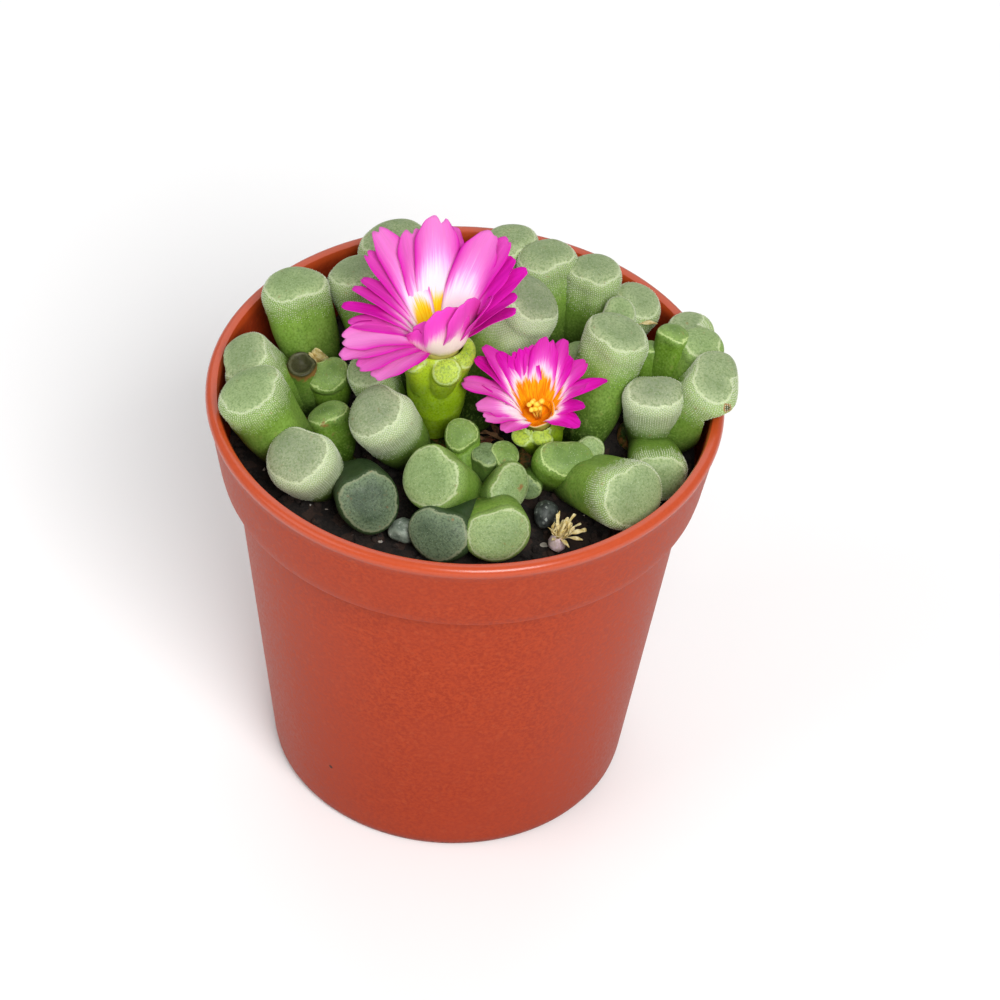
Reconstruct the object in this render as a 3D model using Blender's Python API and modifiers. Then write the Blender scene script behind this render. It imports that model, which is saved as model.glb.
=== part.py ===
"""Potted frithia: window-leaved rosettes with two open flowers in a small round plastic pot.

Lengths are in millimetres and are scaled to metres as each mesh is made.  The origin is the
centre of the pot's underside, +Z is up and -Y is the front.
"""
import math
import random

import bmesh
import bpy
from mathutils import Vector, noise

MM = 0.001
GAP = 0.3
MERGE_DISTANCE = 0.00005

POT_HEIGHT = 49.5
RIM_RADIUS = 27.5
LIP_WIDTH = 1.5
BAND_HEIGHT = 9.5
BAND_FOOT_RADIUS = 25.8
BODY_TOP_RADIUS = 24.3
BODY_FOOT_RADIUS = 19.3
WALL = 0.85
FLOOR_TOP = 1.8
RECESS_HEIGHT = 0.8
FOOT_RING = (18.6, 17.0)
CENTRE_PAD_RADIUS = 5.0
DRAIN_HOLES = 4
DRAIN_RADIUS = 2.1
DRAIN_CIRCLE = 11.0
DRAIN_TURN = 45.0
DRAIN_SIDES = 14
POT_STEPS = 36

SOIL_TOP = 41.5
SOIL_RELIEF = 0.3
SOIL_STEPS = 26
SOIL_RINGS = (22.0, 17.5, 12.5, 7.0, 2.4)

CROWN_DEPTH = 3.2
CROWN_RISE = 1.5
CROWN_SIDES = 12
CROWN_PROFILE = ((-CROWN_DEPTH, 0.9), (-CROWN_DEPTH + 0.6, 1.0), (0.5, 1.0), (0.8 * CROWN_RISE, 0.66))
CROWN_GAP = 0.42

# How far the leaves keep from the soil, the pot and the flower stalks.  Each leaf of a rosette
# adds its own step, so that no two bent skins lie on one surface.
SOIL_CLEARANCE = 0.8
LEAF_CLEARANCE = 0.5
STALK_CLEARANCE = 0.9
CLEARANCE_STEP = 0.06
STALK_FOOT_SHARE = 0.62
SINK_SLOPE = 0.8
LIP_SLOPE = 1.6

# Where a leaf starts inside the crown, and how high its foot stands.
ROOT_SHARE = 0.45
FLOWERED_ROOT_SHARE = 0.72
ROOT_HEIGHT = 0.4
FOOT_HEIGHT = 2.0

# A leaf's section bulges away from the crown and is flat and dented towards it.
LEAF_SIDES = 10
SMALL_LEAF_SIDES = 8
SMALL_LEAF_WIDTH = 4.5
BACK_SWELL = 1.08
FACE_DEPTH = 0.92
DENT_DEPTH = 0.18
DENT_WIDTH = 0.45
SHOULDER_DEPTH = 1.3
SHOULDER_SHARE = 0.25
PATH_STEP = 0.05
LEAF_STATIONS = ((0.0, 0.50), (0.42, 0.76), (0.82, 0.94))
SHOULDER_RINGS = ((1.0, 1.0), (0.3, 0.985), (0.0, 0.89))
WINDOW_DOME = 0.12

PETAL_THICKNESS = 0.62
PETAL_CHANNEL = 0.16
PETAL_LEAN = 0.35
PETAL_BEND = 0.4
PETAL_SCATTER = 3.0
PETAL_ROOT_INSET = 0.45
PETAL_ROOT_DROP = 0.9
LAYER_LIFT = 9.0

# The petals' tube stands in the calyx: the share of the flower's height that it takes, its wall
# and the thickness of its floor.
TUBE_SHARE = 0.36
TUBE_STEPS = 15
TUBE_MARGIN = 1.5
TUBE_WALL = 1.1
TUBE_FLOOR = 1.0
TUBE_LIP_DROP = 0.2
CALYX_STEPS = 14
SEPAL_ROOT_SHARE = 0.4
SEPAL_DEPTH_SHARE = 0.85

STAMEN_BASE = 0.5
STAMEN_RADII = ((0.2, 0.3), (0.7, 0.3), (0.78, 0.46), (1.0, 0.34))
STAMEN_SIDES = 6
STAMEN_SPREAD = 0.55
STAMEN_SPLAY = 0.5

DRIED_STRIPS = 6
DRIED_BASE = ((0.0, 1.5), (0.7, 1.4), (1.0, 0.7), (0.8, 0.1), (0.0, 0.1))
DRIED_AT = (10.7, -15.4)
DRIED_LEAN = (0.7, 1.2, 2.4)
DRIED_WIDTH = 0.9
DRIED_RISE = (38.0, 75.0)
DRIED_REACH = (2.2, 3.2)

PEBBLE_ROUGHNESS = 0.16
PEBBLE_GRAIN = 1.3
SOIL_GRAIN = 260.0
SOIL_MARGIN = 0.5

PETAL_STATIONS = ((0.0, 0.42), (0.35, 0.74), (0.8, 1.0), (1.0, 0.42))

# Each rosette is its crown's centre and radius, then its leaves.  A leaf is its foot (x, y) on
# the soil, its tip (x, y, height over the soil), its width round the crown and its depth away
# from it, and how far its window follows the leaf's lean: 1 is square to the leaf, 0 is level.
ROSETTES = {
    "rosette_left_back": ((-15.6, 4.6), 3.0, (
        ((-15.6, 6.8), (-18.8, 9.8, 13.2), 7.4, 6.8, 0.3),
        ((-18.0, 4.4), (-23.5, 1.8, 10.0), 7.2, 6.6, 0.7),
        ((-14.0, 3.2), (-15.2, 2.9, 7.8), 4.4, 4.0, 0.7),
        ((-16.8, 2.8), (-18.0, 2.4, 6.6), 2.8, 3.0, 0.6),
    )),
    "rosette_left_front": ((-14.0, -5.2), 3.4, (
        ((-17.2, -5.4), (-22.1, -5.6, 11.6), 8.0, 8.0, 0.8),
        ((-14.6, -8.2), (-17.0, -11.6, 8.4), 7.6, 7.4, 1.0),
        ((-11.0, -7.6), (-9.3, -14.9, 5.4), 6.6, 7.2, 1.0),
        ((-12.6, -3.6), (-14.5, -2.4, 6.2), 4.8, 4.0, 0.8),
    )),
    "rosette_big_flower": ((-3.4, 0.8), 4.2, (
        ((-5.6, -3.0), (-8.9, -6.8, 11.0), 7.2, 7.2, 1.0),
        ((-7.6, 1.8), (-10.0, 1.6, 9.4), 6.0, 5.4, 0.7),
        ((0.8, 3.8), (5.8, 9.0, 13.6), 8.2, 7.4, 0.8),
        ((-6.2, 4.8), (-12.6, 13.2, 13.2), 7.2, 6.4, 0.4),
        ((-2.6, 5.2), (-1.6, 12.0, 11.5), 6.6, 6.0, 0.4),
    )),
    "rosette_back": ((-5.4, 16.2), 2.8, (
        ((-6.4, 17.8), (-9.1, 20.3, 11.5), 8.2, 5.8, 0.3),
        ((-4.2, 17.4), (-3.6, 18.8, 8.0), 4.6, 4.4, 0.4),
    )),
    "rosette_front": ((1.4, -8.4), 3.4, (
        ((0.2, -8.2), (-2.9, -13.2, 8.1), 7.2, 7.2, 1.0),
        ((0.6, -11.0), (-1.9, -18.0, 4.3), 7.2, 6.2, 1.0),
        ((3.4, -11.0), (4.3, -18.2, 5.3), 7.0, 6.2, 1.0),
        ((3.4, -8.6), (5.1, -10.9, 5.0), 4.8, 3.8, 1.0),
        ((0.8, -6.4), (-0.3, -5.2, 7.0), 3.8, 3.6, 1.0),
        ((2.4, -6.6), (2.3, -6.4, 5.4), 3.2, 3.2, 0.8),
        ((3.6, -6.6), (4.7, -6.1, 5.4), 2.8, 3.0, 0.8),
    )),
    "rosette_small_flower": ((9.8, -1.8), 4.0, (
        ((11.6, -5.0), (18.0, -14.6, 8.4), 8.0, 7.4, 1.0),
        ((9.8, -5.6), (11.1, -7.9, 6.9), 6.6, 4.8, 1.0),
        ((12.2, -0.4), (15.1, 4.5, 14.6), 7.4, 6.8, 0.8),
        ((10.4, 2.2), (12.4, 6.9, 8.5), 4.6, 4.6, 0.6),
        ((12.8, -3.4), (14.6, -5.2, 5.2), 3.6, 3.2, 0.8),
        ((7.8, -5.0), (8.4, -10.0, 3.8), 3.0, 3.0, 1.0),
    )),
    "rosette_right_back": ((10.6, 12.6), 3.6, (
        ((8.6, 14.4), (3.8, 20.2, 12.2), 6.8, 6.2, 0.4),
        ((10.0, 14.8), (7.8, 17.4, 12.8), 6.8, 6.2, 0.4),
        ((12.2, 13.8), (12.9, 16.4, 12.2), 6.0, 6.0, 0.4),
        ((13.0, 12.2), (17.8, 14.3, 10.2), 6.2, 5.2, 0.4),
        ((12.8, 11.2), (15.4, 11.2, 9.8), 4.4, 3.8, 0.6),
    )),
    "rosette_right": ((19.2, 3.4), 2.8, (
        ((19.9, 1.2), (19.9, -0.9, 10.8), 6.7, 5.6, 0.3),
        ((21.2, 1.6), (26.3, 0.6, 11.6), 7.0, 6.8, 0.6),
        ((21.0, 4.6), (24.6, 6.8, 11.0), 5.0, 5.6, 0.5),
        ((20.6, 5.6), (23.9, 10.1, 10.2), 5.8, 4.8, 0.3),
        ((20.2, 4.8), (21.4, 7.6, 11.4), 3.8, 3.4, 0.6),
        ((19.0, 4.8), (19.3, 7.6, 9.4), 2.8, 2.8, 0.6),
        ((19.8, 0.8), (21.0, -7.9, 5.5), 6.2, 5.8, 0.9),
    )),
}

# Each flower is the foot of its stalk, its throat, the size of its calyx and of its tube, the
# spread of its petals (azimuth, elevation and reach from the throat) and its sepals.
BIG_FLOWER = {
    "name": "big_flower",
    "rosette": "rosette_big_flower",
    "foot": (-3.4, 0.8, 1.9),
    "throat": (-5.3, 1.4, 14.2),
    "calyx_radius": 3.3,
    "tube_radius": 2.1,
    "petals": 22,
    "petal_width": 2.7,
    "layer_drop": 0.0,
    "spread": ((10, 25, 11.5), (32, 32, 14.0), (58, 40, 12.0), (75, 45, 13.0), (92, 45, 11.6),
               (118, 42, 12.5), (155, 25, 9.0), (190, 5, 8.0), (225, -6, 8.0), (258, 4, 6.0),
               (285, 62, 5.5), (330, 62, 8.2), (350, 45, 9.5)),
    "sepals": (((-3.0, -1.4, 9.2), (-2.3, -2.4, 12.3), 3.3),
               ((-5.5, -0.5, 9.2), (-6.3, -1.1, 11.6), 3.0),
               ((-1.2, 1.8, 9.4), (0.3, 2.3, 12.2), 2.6),
               ((-3.6, 3.6, 9.2), (-3.4, 4.9, 11.6), 3.0),
               ((-6.0, 2.5, 9.2), (-7.0, 3.1, 11.4), 2.6)),
    "stamens": 5,
    "stamen_height": 3.4,
}
SMALL_FLOWER = {
    "name": "small_flower",
    "rosette": "rosette_small_flower",
    "foot": (8.9, -1.4, 1.9),
    "throat": (7.6, -3.1, 8.6),
    "calyx_radius": 2.3,
    "tube_radius": 1.6,
    "petals": 18,
    "petal_width": 2.1,
    "layer_drop": 0.17,
    "spread": ((14, 22, 8.0), (36, 36, 7.8), (60, 42, 8.0), (82, 40, 7.8), (108, 38, 7.3),
               (145, 30, 9.2), (165, 16, 8.2), (180, 14, 6.6), (218, 6, 5.0), (270, 26, 4.4),
               (308, 4, 5.0), (322, 8, 5.2), (350, 12, 5.8)),
    "sepals": (((7.0, -4.2, 5.2), (6.0, -5.3, 6.8), 1.8),
               ((8.2, -4.0, 5.2), (8.2, -5.0, 6.9), 1.8),
               ((9.8, -1.6, 5.2), (10.7, -1.2, 6.8), 1.8)),
    "stamens": 4,
    "stamen_height": 2.8,
}


def material(name, colour, roughness):
    """A Principled material with one colour."""
    made = bpy.data.materials.new(name)
    made.use_nodes = True
    shader = made.node_tree.nodes["Principled BSDF"]
    shader.inputs["Base Color"].default_value = (*colour, 1.0)
    shader.inputs["Roughness"].default_value = roughness
    shader.inputs["Metallic"].default_value = 0.0
    made.diffuse_color = (*colour, 1.0)
    return made


def add_object(name, mesh, collection, look=None):
    """Put a mesh in a collection, with its material and smooth shading."""
    made = bpy.data.objects.new(name, mesh)
    collection.objects.link(made)
    if look is not None:
        mesh.materials.clear()
        mesh.materials.append(look)
    mesh.shade_smooth()
    mesh.set_sharp_from_angle(angle=math.radians(40))
    return made


def mesh_from(name, points, faces):
    """A mesh from points in millimetres."""
    mesh = bpy.data.meshes.new(name)
    mesh.from_pydata([tuple(MM * value for value in point) for point in points], [], faces)
    mesh.update()
    return mesh


def loft(name, rings, bottom, top):
    """A closed skin over rings of equal size, each run anticlockwise seen from its top."""
    sides = len(rings[0])
    points = [tuple(point) for ring in rings for point in ring]
    faces = []
    for level in range(len(rings) - 1):
        for side in range(sides):
            low = level * sides + side
            low_next = level * sides + (side + 1) % sides
            faces.append((low, low_next, low_next + sides))
            faces.append((low, low_next + sides, low + sides))
    points.append(tuple(bottom))
    points.append(tuple(top))
    bottom_index = len(points) - 2
    top_index = len(points) - 1
    last = (len(rings) - 1) * sides
    for side in range(sides):
        following = (side + 1) % sides
        faces.append((following, side, bottom_index))
        faces.append((last + side, last + following, top_index))
    return mesh_from(name, points, faces)


def turned(name, profile, steps):
    """A solid turned about Z from a profile that runs outside, top to bottom."""
    mesh = bpy.data.meshes.new(name)
    mesh.from_pydata([(MM * radius, 0.0, MM * height) for radius, height in profile],
                     [(index, index + 1) for index in range(len(profile) - 1)], [])
    guide = bpy.data.objects.new(name, mesh)
    bpy.context.scene.collection.objects.link(guide)
    screw = guide.modifiers.new("turn", "SCREW")
    screw.axis = "Z"
    screw.steps = steps
    screw.render_steps = steps
    screw.use_merge_vertices = True
    screw.merge_threshold = MERGE_DISTANCE
    return applied(guide)


def applied(source):
    """The evaluated mesh of an object, which is then removed."""
    bpy.context.view_layer.update()
    evaluated = source.evaluated_get(bpy.context.evaluated_depsgraph_get())
    mesh = bpy.data.meshes.new_from_object(evaluated)
    mesh.name = source.name
    bpy.data.objects.remove(source)
    return mesh


def joined(name, meshes):
    """One closed mesh: the Boolean union of several, without loose scraps or sealed hollows."""
    others = bpy.data.collections.new(name + "_pieces")
    bpy.context.scene.collection.children.link(others)
    for mesh in meshes[1:]:
        others.objects.link(bpy.data.objects.new(mesh.name, mesh))
    body = bpy.data.objects.new(name, meshes[0])
    bpy.context.scene.collection.objects.link(body)
    union = body.modifiers.new("join", "BOOLEAN")
    union.operation = "UNION"
    union.solver = "EXACT"
    union.operand_type = "COLLECTION"
    union.collection = others
    mesh = applied(body)
    for piece in list(others.objects):
        bpy.data.objects.remove(piece)
    bpy.data.collections.remove(others)
    return largest_shell(mesh)


def largest_shell(mesh):
    """Keep the skin that holds the most faces, and drop what only touches it at a point."""
    work = bmesh.new()
    work.from_mesh(mesh)
    bmesh.ops.triangulate(work, faces=work.faces)
    unseen = set(work.faces)
    shells = []
    while unseen:
        queue = [unseen.pop()]
        shell = set(queue)
        while queue:
            for edge in queue.pop().edges:
                for face in edge.link_faces:
                    if face in unseen:
                        unseen.remove(face)
                        shell.add(face)
                        queue.append(face)
        shells.append(shell)
    keep = max(shells, key=len)
    bmesh.ops.delete(work, geom=[face for face in work.faces if face not in keep], context="FACES")
    work.to_mesh(mesh)
    work.free()
    return mesh


def club_section(angle, width, depth):
    """One point of a leaf's section: round away from the crown, flat and dented towards it."""
    across = math.cos(angle)
    away = math.sin(angle)
    if away > 0.0:
        away *= BACK_SWELL
    else:
        away *= FACE_DEPTH * (1.0 - DENT_DEPTH * math.exp(-((across / DENT_WIDTH) ** 2)))
    return 0.5 * width * across, 0.5 * depth * away


def middle_of(ring):
    """The mean of a ring's points."""
    return sum(ring, Vector()) / len(ring)


def bent_path(start, middle, end, along):
    """A point on the quadratic curve from start towards middle to end."""
    return (1.0 - along) ** 2 * start + 2.0 * along * (1.0 - along) * middle + along ** 2 * end


def club(name, start, foot, tip, outward, width, depth, tilt, bend):
    """A club-shaped leaf from its root to a cut-off tip with a rounded rim and a window."""
    lean = (tip - foot).normalized()
    window = (tilt * lean + (1.0 - tilt) * Vector((0.0, 0.0, 1.0))).normalized()
    shoulder = min(SHOULDER_DEPTH, SHOULDER_SHARE * width)
    neck = tip - shoulder * window
    sides = LEAF_SIDES if width > SMALL_LEAF_WIDTH else SMALL_LEAF_SIDES
    rings = []
    for along, size in LEAF_STATIONS:
        centre = bent_path(start, foot, neck, along)
        ahead = (bent_path(start, foot, neck, min(along + PATH_STEP, 1.0)) - centre).normalized()
        facing = ahead.lerp(window, along ** 2).normalized()
        rings.append(club_ring(centre, facing, outward, width * size, depth * size, sides))
    for drop, size in SHOULDER_RINGS:
        centre = tip - shoulder * drop * window
        rings.append(club_ring(centre, window, outward, width * size, depth * size, sides))
    rings = [[bend(point) for point in ring] for ring in rings]
    return loft(name, rings, middle_of(rings[0]), tip + WINDOW_DOME * window)


def club_ring(centre, facing, outward, width, depth, sides):
    """A leaf section square to its facing direction."""
    side = outward.cross(facing).normalized()
    away = facing.cross(side).normalized()
    ring = []
    for index in range(sides):
        across, out = club_section(2.0 * math.pi * (index + 0.5) / sides, width, depth)
        ring.append(centre + across * side + out * away)
    return ring


def crown(name, centre, radius):
    """The short stout stem that a rosette's leaves grow from."""
    turns = [2.0 * math.pi * side / CROWN_SIDES for side in range(CROWN_SIDES)]
    rings = []
    for height, size in CROWN_PROFILE:
        rings.append([Vector((centre[0] + size * radius * math.cos(turn),
                              centre[1] + size * radius * math.sin(turn),
                              SOIL_TOP + height)) for turn in turns])
    return loft(name, rings, (centre[0], centre[1], SOIL_TOP - CROWN_DEPTH),
                (centre[0], centre[1], SOIL_TOP + CROWN_RISE))


def inner_wall_radius(height):
    """The radius of the pot's inside at a height above the band's foot."""
    band_foot = POT_HEIGHT - BAND_HEIGHT
    low = BAND_FOOT_RADIUS - WALL
    part = min(max((height - band_foot) / BAND_HEIGHT, 0.0), 1.0)
    return low + part * (RIM_RADIUS - LIP_WIDTH - low)


def clear_of_pot(point, spare):
    """Bend a leaf's skin in from the pot's wall, and over the lip above it."""
    limit = inner_wall_radius(point.z) - LEAF_CLEARANCE - spare
    limit += LIP_SLOPE * max(point.z - POT_HEIGHT - LEAF_CLEARANCE, 0.0)
    radius = math.hypot(point.x, point.y)
    if radius <= limit:
        return point
    return Vector((point.x * limit / radius, point.y * limit / radius, point.z))


def clear_of_axis(point, foot, direction, limit):
    """Push a point out to a distance from a line."""
    across = point - foot - (point - foot).dot(direction) * direction
    if across.length >= limit:
        return point
    return point + across.normalized() * (limit - across.length)


def clear_of_stalk(point, flower, spare):
    """Bend a leaf's skin away from the flower stalk that stands in its rosette."""
    foot, throat = flower_axis(flower)
    direction = (throat - foot).normalized()
    along = (point - foot).dot(direction)
    if along < -CROWN_RISE:
        return point
    swell = min(STALK_FOOT_SHARE + max(along, 0.0) / (throat - foot).length, 1.0)
    limit = flower["calyx_radius"] * swell + STALK_CLEARANCE + spare
    return clear_of_axis(point, foot, direction, limit)


def rosette(name, centre, radius, leaves, flower=None):
    """A crown with its leaves, all one body."""
    middle = Vector((centre[0], centre[1], SOIL_TOP))

    def bent_clear(point):
        """Keep a leaf's skin off the pot, off its flower's stalk and, past the crown, off the soil."""
        point = clear_of_pot(point, spare)
        if flower is not None:
            point = clear_of_stalk(point, flower, spare)
        sunk = max(radius - math.hypot(point.x - middle.x, point.y - middle.y), 0.0)
        lowest = SOIL_TOP + SOIL_CLEARANCE + spare - SINK_SLOPE * sunk
        return Vector((point.x, point.y, max(point.z, lowest)))

    pieces = [crown(name + "_crown", centre, radius)]
    for number, (foot, tip, width, depth, tilt) in enumerate(leaves):
        spare = CLEARANCE_STEP * number
        foot_point = Vector((foot[0], foot[1], SOIL_TOP + FOOT_HEIGHT))
        tip_point = Vector((tip[0], tip[1], SOIL_TOP + tip[2]))
        start = middle.lerp(foot_point, ROOT_SHARE if flower is None else FLOWERED_ROOT_SHARE)
        start.z = SOIL_TOP + ROOT_HEIGHT
        outward = Vector((tip[0] - centre[0], tip[1] - centre[1], 0.0)).normalized()
        pieces.append(club(f"{name}_leaf_{number}", start, foot_point, tip_point, outward,
                           width, depth, tilt, bent_clear))
    return joined(name, pieces)


def spread_at(spread, azimuth):
    """Elevation and reach of a petal, read between the two nearest entries of the spread."""
    entries = list(spread) + [(spread[0][0] + 360, spread[0][1], spread[0][2])]
    turn = (azimuth - spread[0][0]) % 360 + spread[0][0]
    for low, high in zip(entries, entries[1:]):
        if low[0] <= turn <= high[0]:
            part = (turn - low[0]) / (high[0] - low[0])
            part = part * part * (3.0 - 2.0 * part)
            return low[1] + part * (high[1] - low[1]), low[2] + part * (high[2] - low[2])
    return entries[-1][1], entries[-1][2]


def petal(name, root, tip, azimuth, width):
    """A thin channelled blade that leaves its root steeply and bends out to its tip."""
    outward = Vector((math.cos(azimuth), math.sin(azimuth), 0.0))
    side = Vector((-math.sin(azimuth), math.cos(azimuth), 0.0))
    steep = (PETAL_LEAN * outward + Vector((0.0, 0.0, 1.0))).normalized()
    middle = root + PETAL_BEND * (tip - root).length * steep
    thick = 0.5 * PETAL_THICKNESS
    rings = []
    for along, size in PETAL_STATIONS:
        centre = bent_path(root, middle, tip, along)
        forward = ((1.0 - along) * (middle - root) + along * (tip - middle)).normalized()
        normal = forward.cross(side).normalized()
        half = 0.5 * width * size
        dip = PETAL_CHANNEL * half
        rings.append([centre + across * side + lift * normal for across, lift in (
            (half, thick), (0.0, thick - dip), (-half, thick),
            (-half, -thick), (0.0, -thick - dip), (half, -thick))])
    return loft(name, rings, middle_of(rings[0]), middle_of(rings[-1]))


def polar(azimuth, elevation, reach):
    """The offset that an azimuth, an elevation and a reach describe."""
    flat = reach * math.cos(elevation)
    return Vector((flat * math.cos(azimuth), flat * math.sin(azimuth), reach * math.sin(elevation)))


def flower_axis(flower):
    """The foot and the throat of a flower as points."""
    foot = Vector(flower["foot"]) + Vector((0.0, 0.0, SOIL_TOP))
    throat = Vector(flower["throat"]) + Vector((0.0, 0.0, SOIL_TOP))
    return foot, throat


def turned_along(name, profile, start, end, steps):
    """A turned solid whose axis runs from start to end instead of up from the origin."""
    mesh = turned(name, profile, steps)
    direction = (end - start).normalized()
    turn = Vector((0.0, 0.0, 1.0)).rotation_difference(direction)
    for vertex in mesh.vertices:
        vertex.co = turn @ vertex.co + MM * start
    return mesh


def corolla(flower):
    """The petals of a flower and the short tube that they grow from."""
    foot, throat = flower_axis(flower)
    radius = flower["tube_radius"]
    length = (throat - foot).length
    floor = (1.0 - TUBE_SHARE) * length
    lip = length - TUBE_LIP_DROP
    tube = ((0.0, floor + TUBE_FLOOR), (radius - TUBE_WALL, floor + TUBE_FLOOR), (radius - 0.7, lip),
            (radius, lip), (radius - 0.2, floor), (0.0, floor))
    name = flower["name"] + "_petals"
    pieces = [turned_along(name + "_tube", tube, foot, throat, TUBE_STEPS)]
    random.seed(name)
    count = flower["petals"]
    for number in range(count):
        azimuth = 360.0 * number / count + random.uniform(-PETAL_SCATTER, PETAL_SCATTER)
        elevation, reach = spread_at(flower["spread"], azimuth)
        angle = math.radians(azimuth)
        root = throat + Vector((math.cos(angle), math.sin(angle), 0.0)) * (radius - PETAL_ROOT_INSET)
        root.z -= PETAL_ROOT_DROP + flower["layer_drop"] * (number % 2)
        lifted = math.radians(elevation + LAYER_LIFT * (number % 2))
        pieces.append(petal(f"{name}_{number}", root, throat + polar(angle, lifted, reach), angle,
                            flower["petal_width"]))
    return joined(name, pieces)


def calyx(flower):
    """The fleshy green cup under a flower, with its club-shaped sepals."""
    foot, throat = flower_axis(flower)
    radius = flower["calyx_radius"]
    tube = flower["tube_radius"]
    length = (throat - foot).length
    floor = (1.0 - TUBE_SHARE) * length - GAP
    profile = ((0.0, floor), (tube + GAP, floor), (tube + 0.15 + GAP, 0.74 * length),
               (tube + 0.6 + GAP, 0.76 * length), (radius, 0.66 * length), (0.98 * radius, 0.44 * length),
               (0.80 * radius, 0.18 * length), (0.62 * radius, 0.0), (0.0, 0.0))
    name = flower["name"] + "_calyx"
    pieces = [turned_along(name + "_cup", profile, foot, throat, CALYX_STEPS)]
    direction = (throat - foot).normalized()

    def clear_of_tube(point):
        """Keep a sepal out of the cup that the petals' tube stands in."""
        if (point - foot).dot(direction) < floor - TUBE_MARGIN:
            return point
        return clear_of_axis(point, foot, direction, tube + 0.25 + GAP)

    for number, (root, tip, width) in enumerate(flower["sepals"]):
        base = Vector(root) + Vector((0.0, 0.0, SOIL_TOP))
        end = Vector(tip) + Vector((0.0, 0.0, SOIL_TOP))
        start = base - SEPAL_ROOT_SHARE * (end - base) - Vector((0.0, 0.0, 1.0))
        outward = Vector((end.x - foot.x, end.y - foot.y, 0.0)).normalized()
        pieces.append(club(f"{name}_sepal_{number}", start, base, end, outward, width,
                           SEPAL_DEPTH_SHARE * width, 1.0, clear_of_tube))
    return joined(name, pieces)


def pot():
    """The turned pot: a banded rim with a beaded lip, a tapered wall and a drained floor."""
    band_foot = POT_HEIGHT - BAND_HEIGHT
    lip_inner = RIM_RADIUS - LIP_WIDTH
    inside = (
        (0.0, FLOOR_TOP),
        (BODY_FOOT_RADIUS - WALL - 0.6, FLOOR_TOP),
        (BODY_FOOT_RADIUS - WALL + 0.1, FLOOR_TOP + 0.9),
        (BODY_TOP_RADIUS - WALL, band_foot - 0.5),
        (BAND_FOOT_RADIUS - WALL, band_foot + 0.4))
    lip = (
        (lip_inner, POT_HEIGHT - 0.9),
        (lip_inner + 0.3, POT_HEIGHT - 0.1),
        (lip_inner + 0.8, POT_HEIGHT),
        (RIM_RADIUS - 0.2, POT_HEIGHT - 0.2),
        (RIM_RADIUS, POT_HEIGHT - 0.7),
        (RIM_RADIUS - 0.3, POT_HEIGHT - 1.3))
    outside = (
        (BAND_FOOT_RADIUS, band_foot + 0.2),
        (BAND_FOOT_RADIUS - 0.25, band_foot),
        (BODY_TOP_RADIUS, band_foot - 0.2),
        (BODY_FOOT_RADIUS, 1.2))
    underside = (
        (FOOT_RING[0], 0.0),
        (FOOT_RING[1], 0.0),
        (FOOT_RING[1] - 0.4, RECESS_HEIGHT),
        (CENTRE_PAD_RADIUS + 0.4, RECESS_HEIGHT),
        (CENTRE_PAD_RADIUS, 0.0),
        (0.0, 0.0))
    return turned("pot", inside + lip + outside + underside, POT_STEPS)


def drill(name, place, radius, length, sides):
    """An upright cylinder for cutting a plain round hole, with its middle at a place."""
    work = bmesh.new()
    bmesh.ops.create_cone(work, cap_ends=True, segments=sides, radius1=MM * radius,
                          radius2=MM * radius, depth=MM * length)
    mesh = bpy.data.meshes.new(name)
    work.to_mesh(mesh)
    work.free()
    for vertex in mesh.vertices:
        vertex.co += MM * place
    return mesh


def drain_cutter(name, number):
    """A plain drill through the pot's floor."""
    angle = math.radians(DRAIN_TURN + 360.0 * number / DRAIN_HOLES)
    place = Vector((DRAIN_CIRCLE * math.cos(angle), DRAIN_CIRCLE * math.sin(angle), 0.0))
    return drill(name, place, DRAIN_RADIUS, 3.0 * FLOOR_TOP, DRAIN_SIDES)


def soil():
    """The potting soil: it follows the pot's inside and has a low uneven top."""
    band_foot = POT_HEIGHT - BAND_HEIGHT
    edge = BAND_FOOT_RADIUS - WALL - GAP + 0.1
    bottom = FLOOR_TOP + GAP
    profile = [(0.0, SOIL_TOP)]
    profile += [(radius, SOIL_TOP) for radius in reversed(SOIL_RINGS)]
    profile += [(edge, SOIL_TOP),
                (edge - 0.1, band_foot + 0.8),
                (BODY_TOP_RADIUS - WALL - GAP - 0.05, band_foot - 0.6),
                (BODY_FOOT_RADIUS - WALL - GAP, bottom + 0.9),
                (BODY_FOOT_RADIUS - WALL - 1.2, bottom),
                (0.0, bottom)]
    mesh = turned("soil", profile, SOIL_STEPS)
    for vertex in mesh.vertices:
        flat = math.hypot(vertex.co.x, vertex.co.y) / MM
        if vertex.co.z > MM * (SOIL_TOP - 0.1) and flat < edge - SOIL_MARGIN:
            vertex.co.z += MM * SOIL_RELIEF * noise.noise(vertex.co * SOIL_GRAIN)
    return mesh


def crown_cutter(name, centre, radius):
    """The plain hole in the soil that a crown stands in."""
    place = Vector((centre[0], centre[1], SOIL_TOP))
    return drill(name, place, radius + CROWN_GAP, 2.0 * (CROWN_DEPTH + GAP), CROWN_SIDES)


def cut(body, cutters, collection):
    """Cut a body with each cutter of a list."""
    for mesh in cutters:
        cutter = bpy.data.objects.new(mesh.name, mesh)
        collection.objects.link(cutter)
        cutter.hide_render = True
        cutter.display_type = "WIRE"
        hole = body.modifiers.new(mesh.name, "BOOLEAN")
        hole.operation = "DIFFERENCE"
        hole.solver = "EXACT"
        hole.object = cutter


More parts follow.
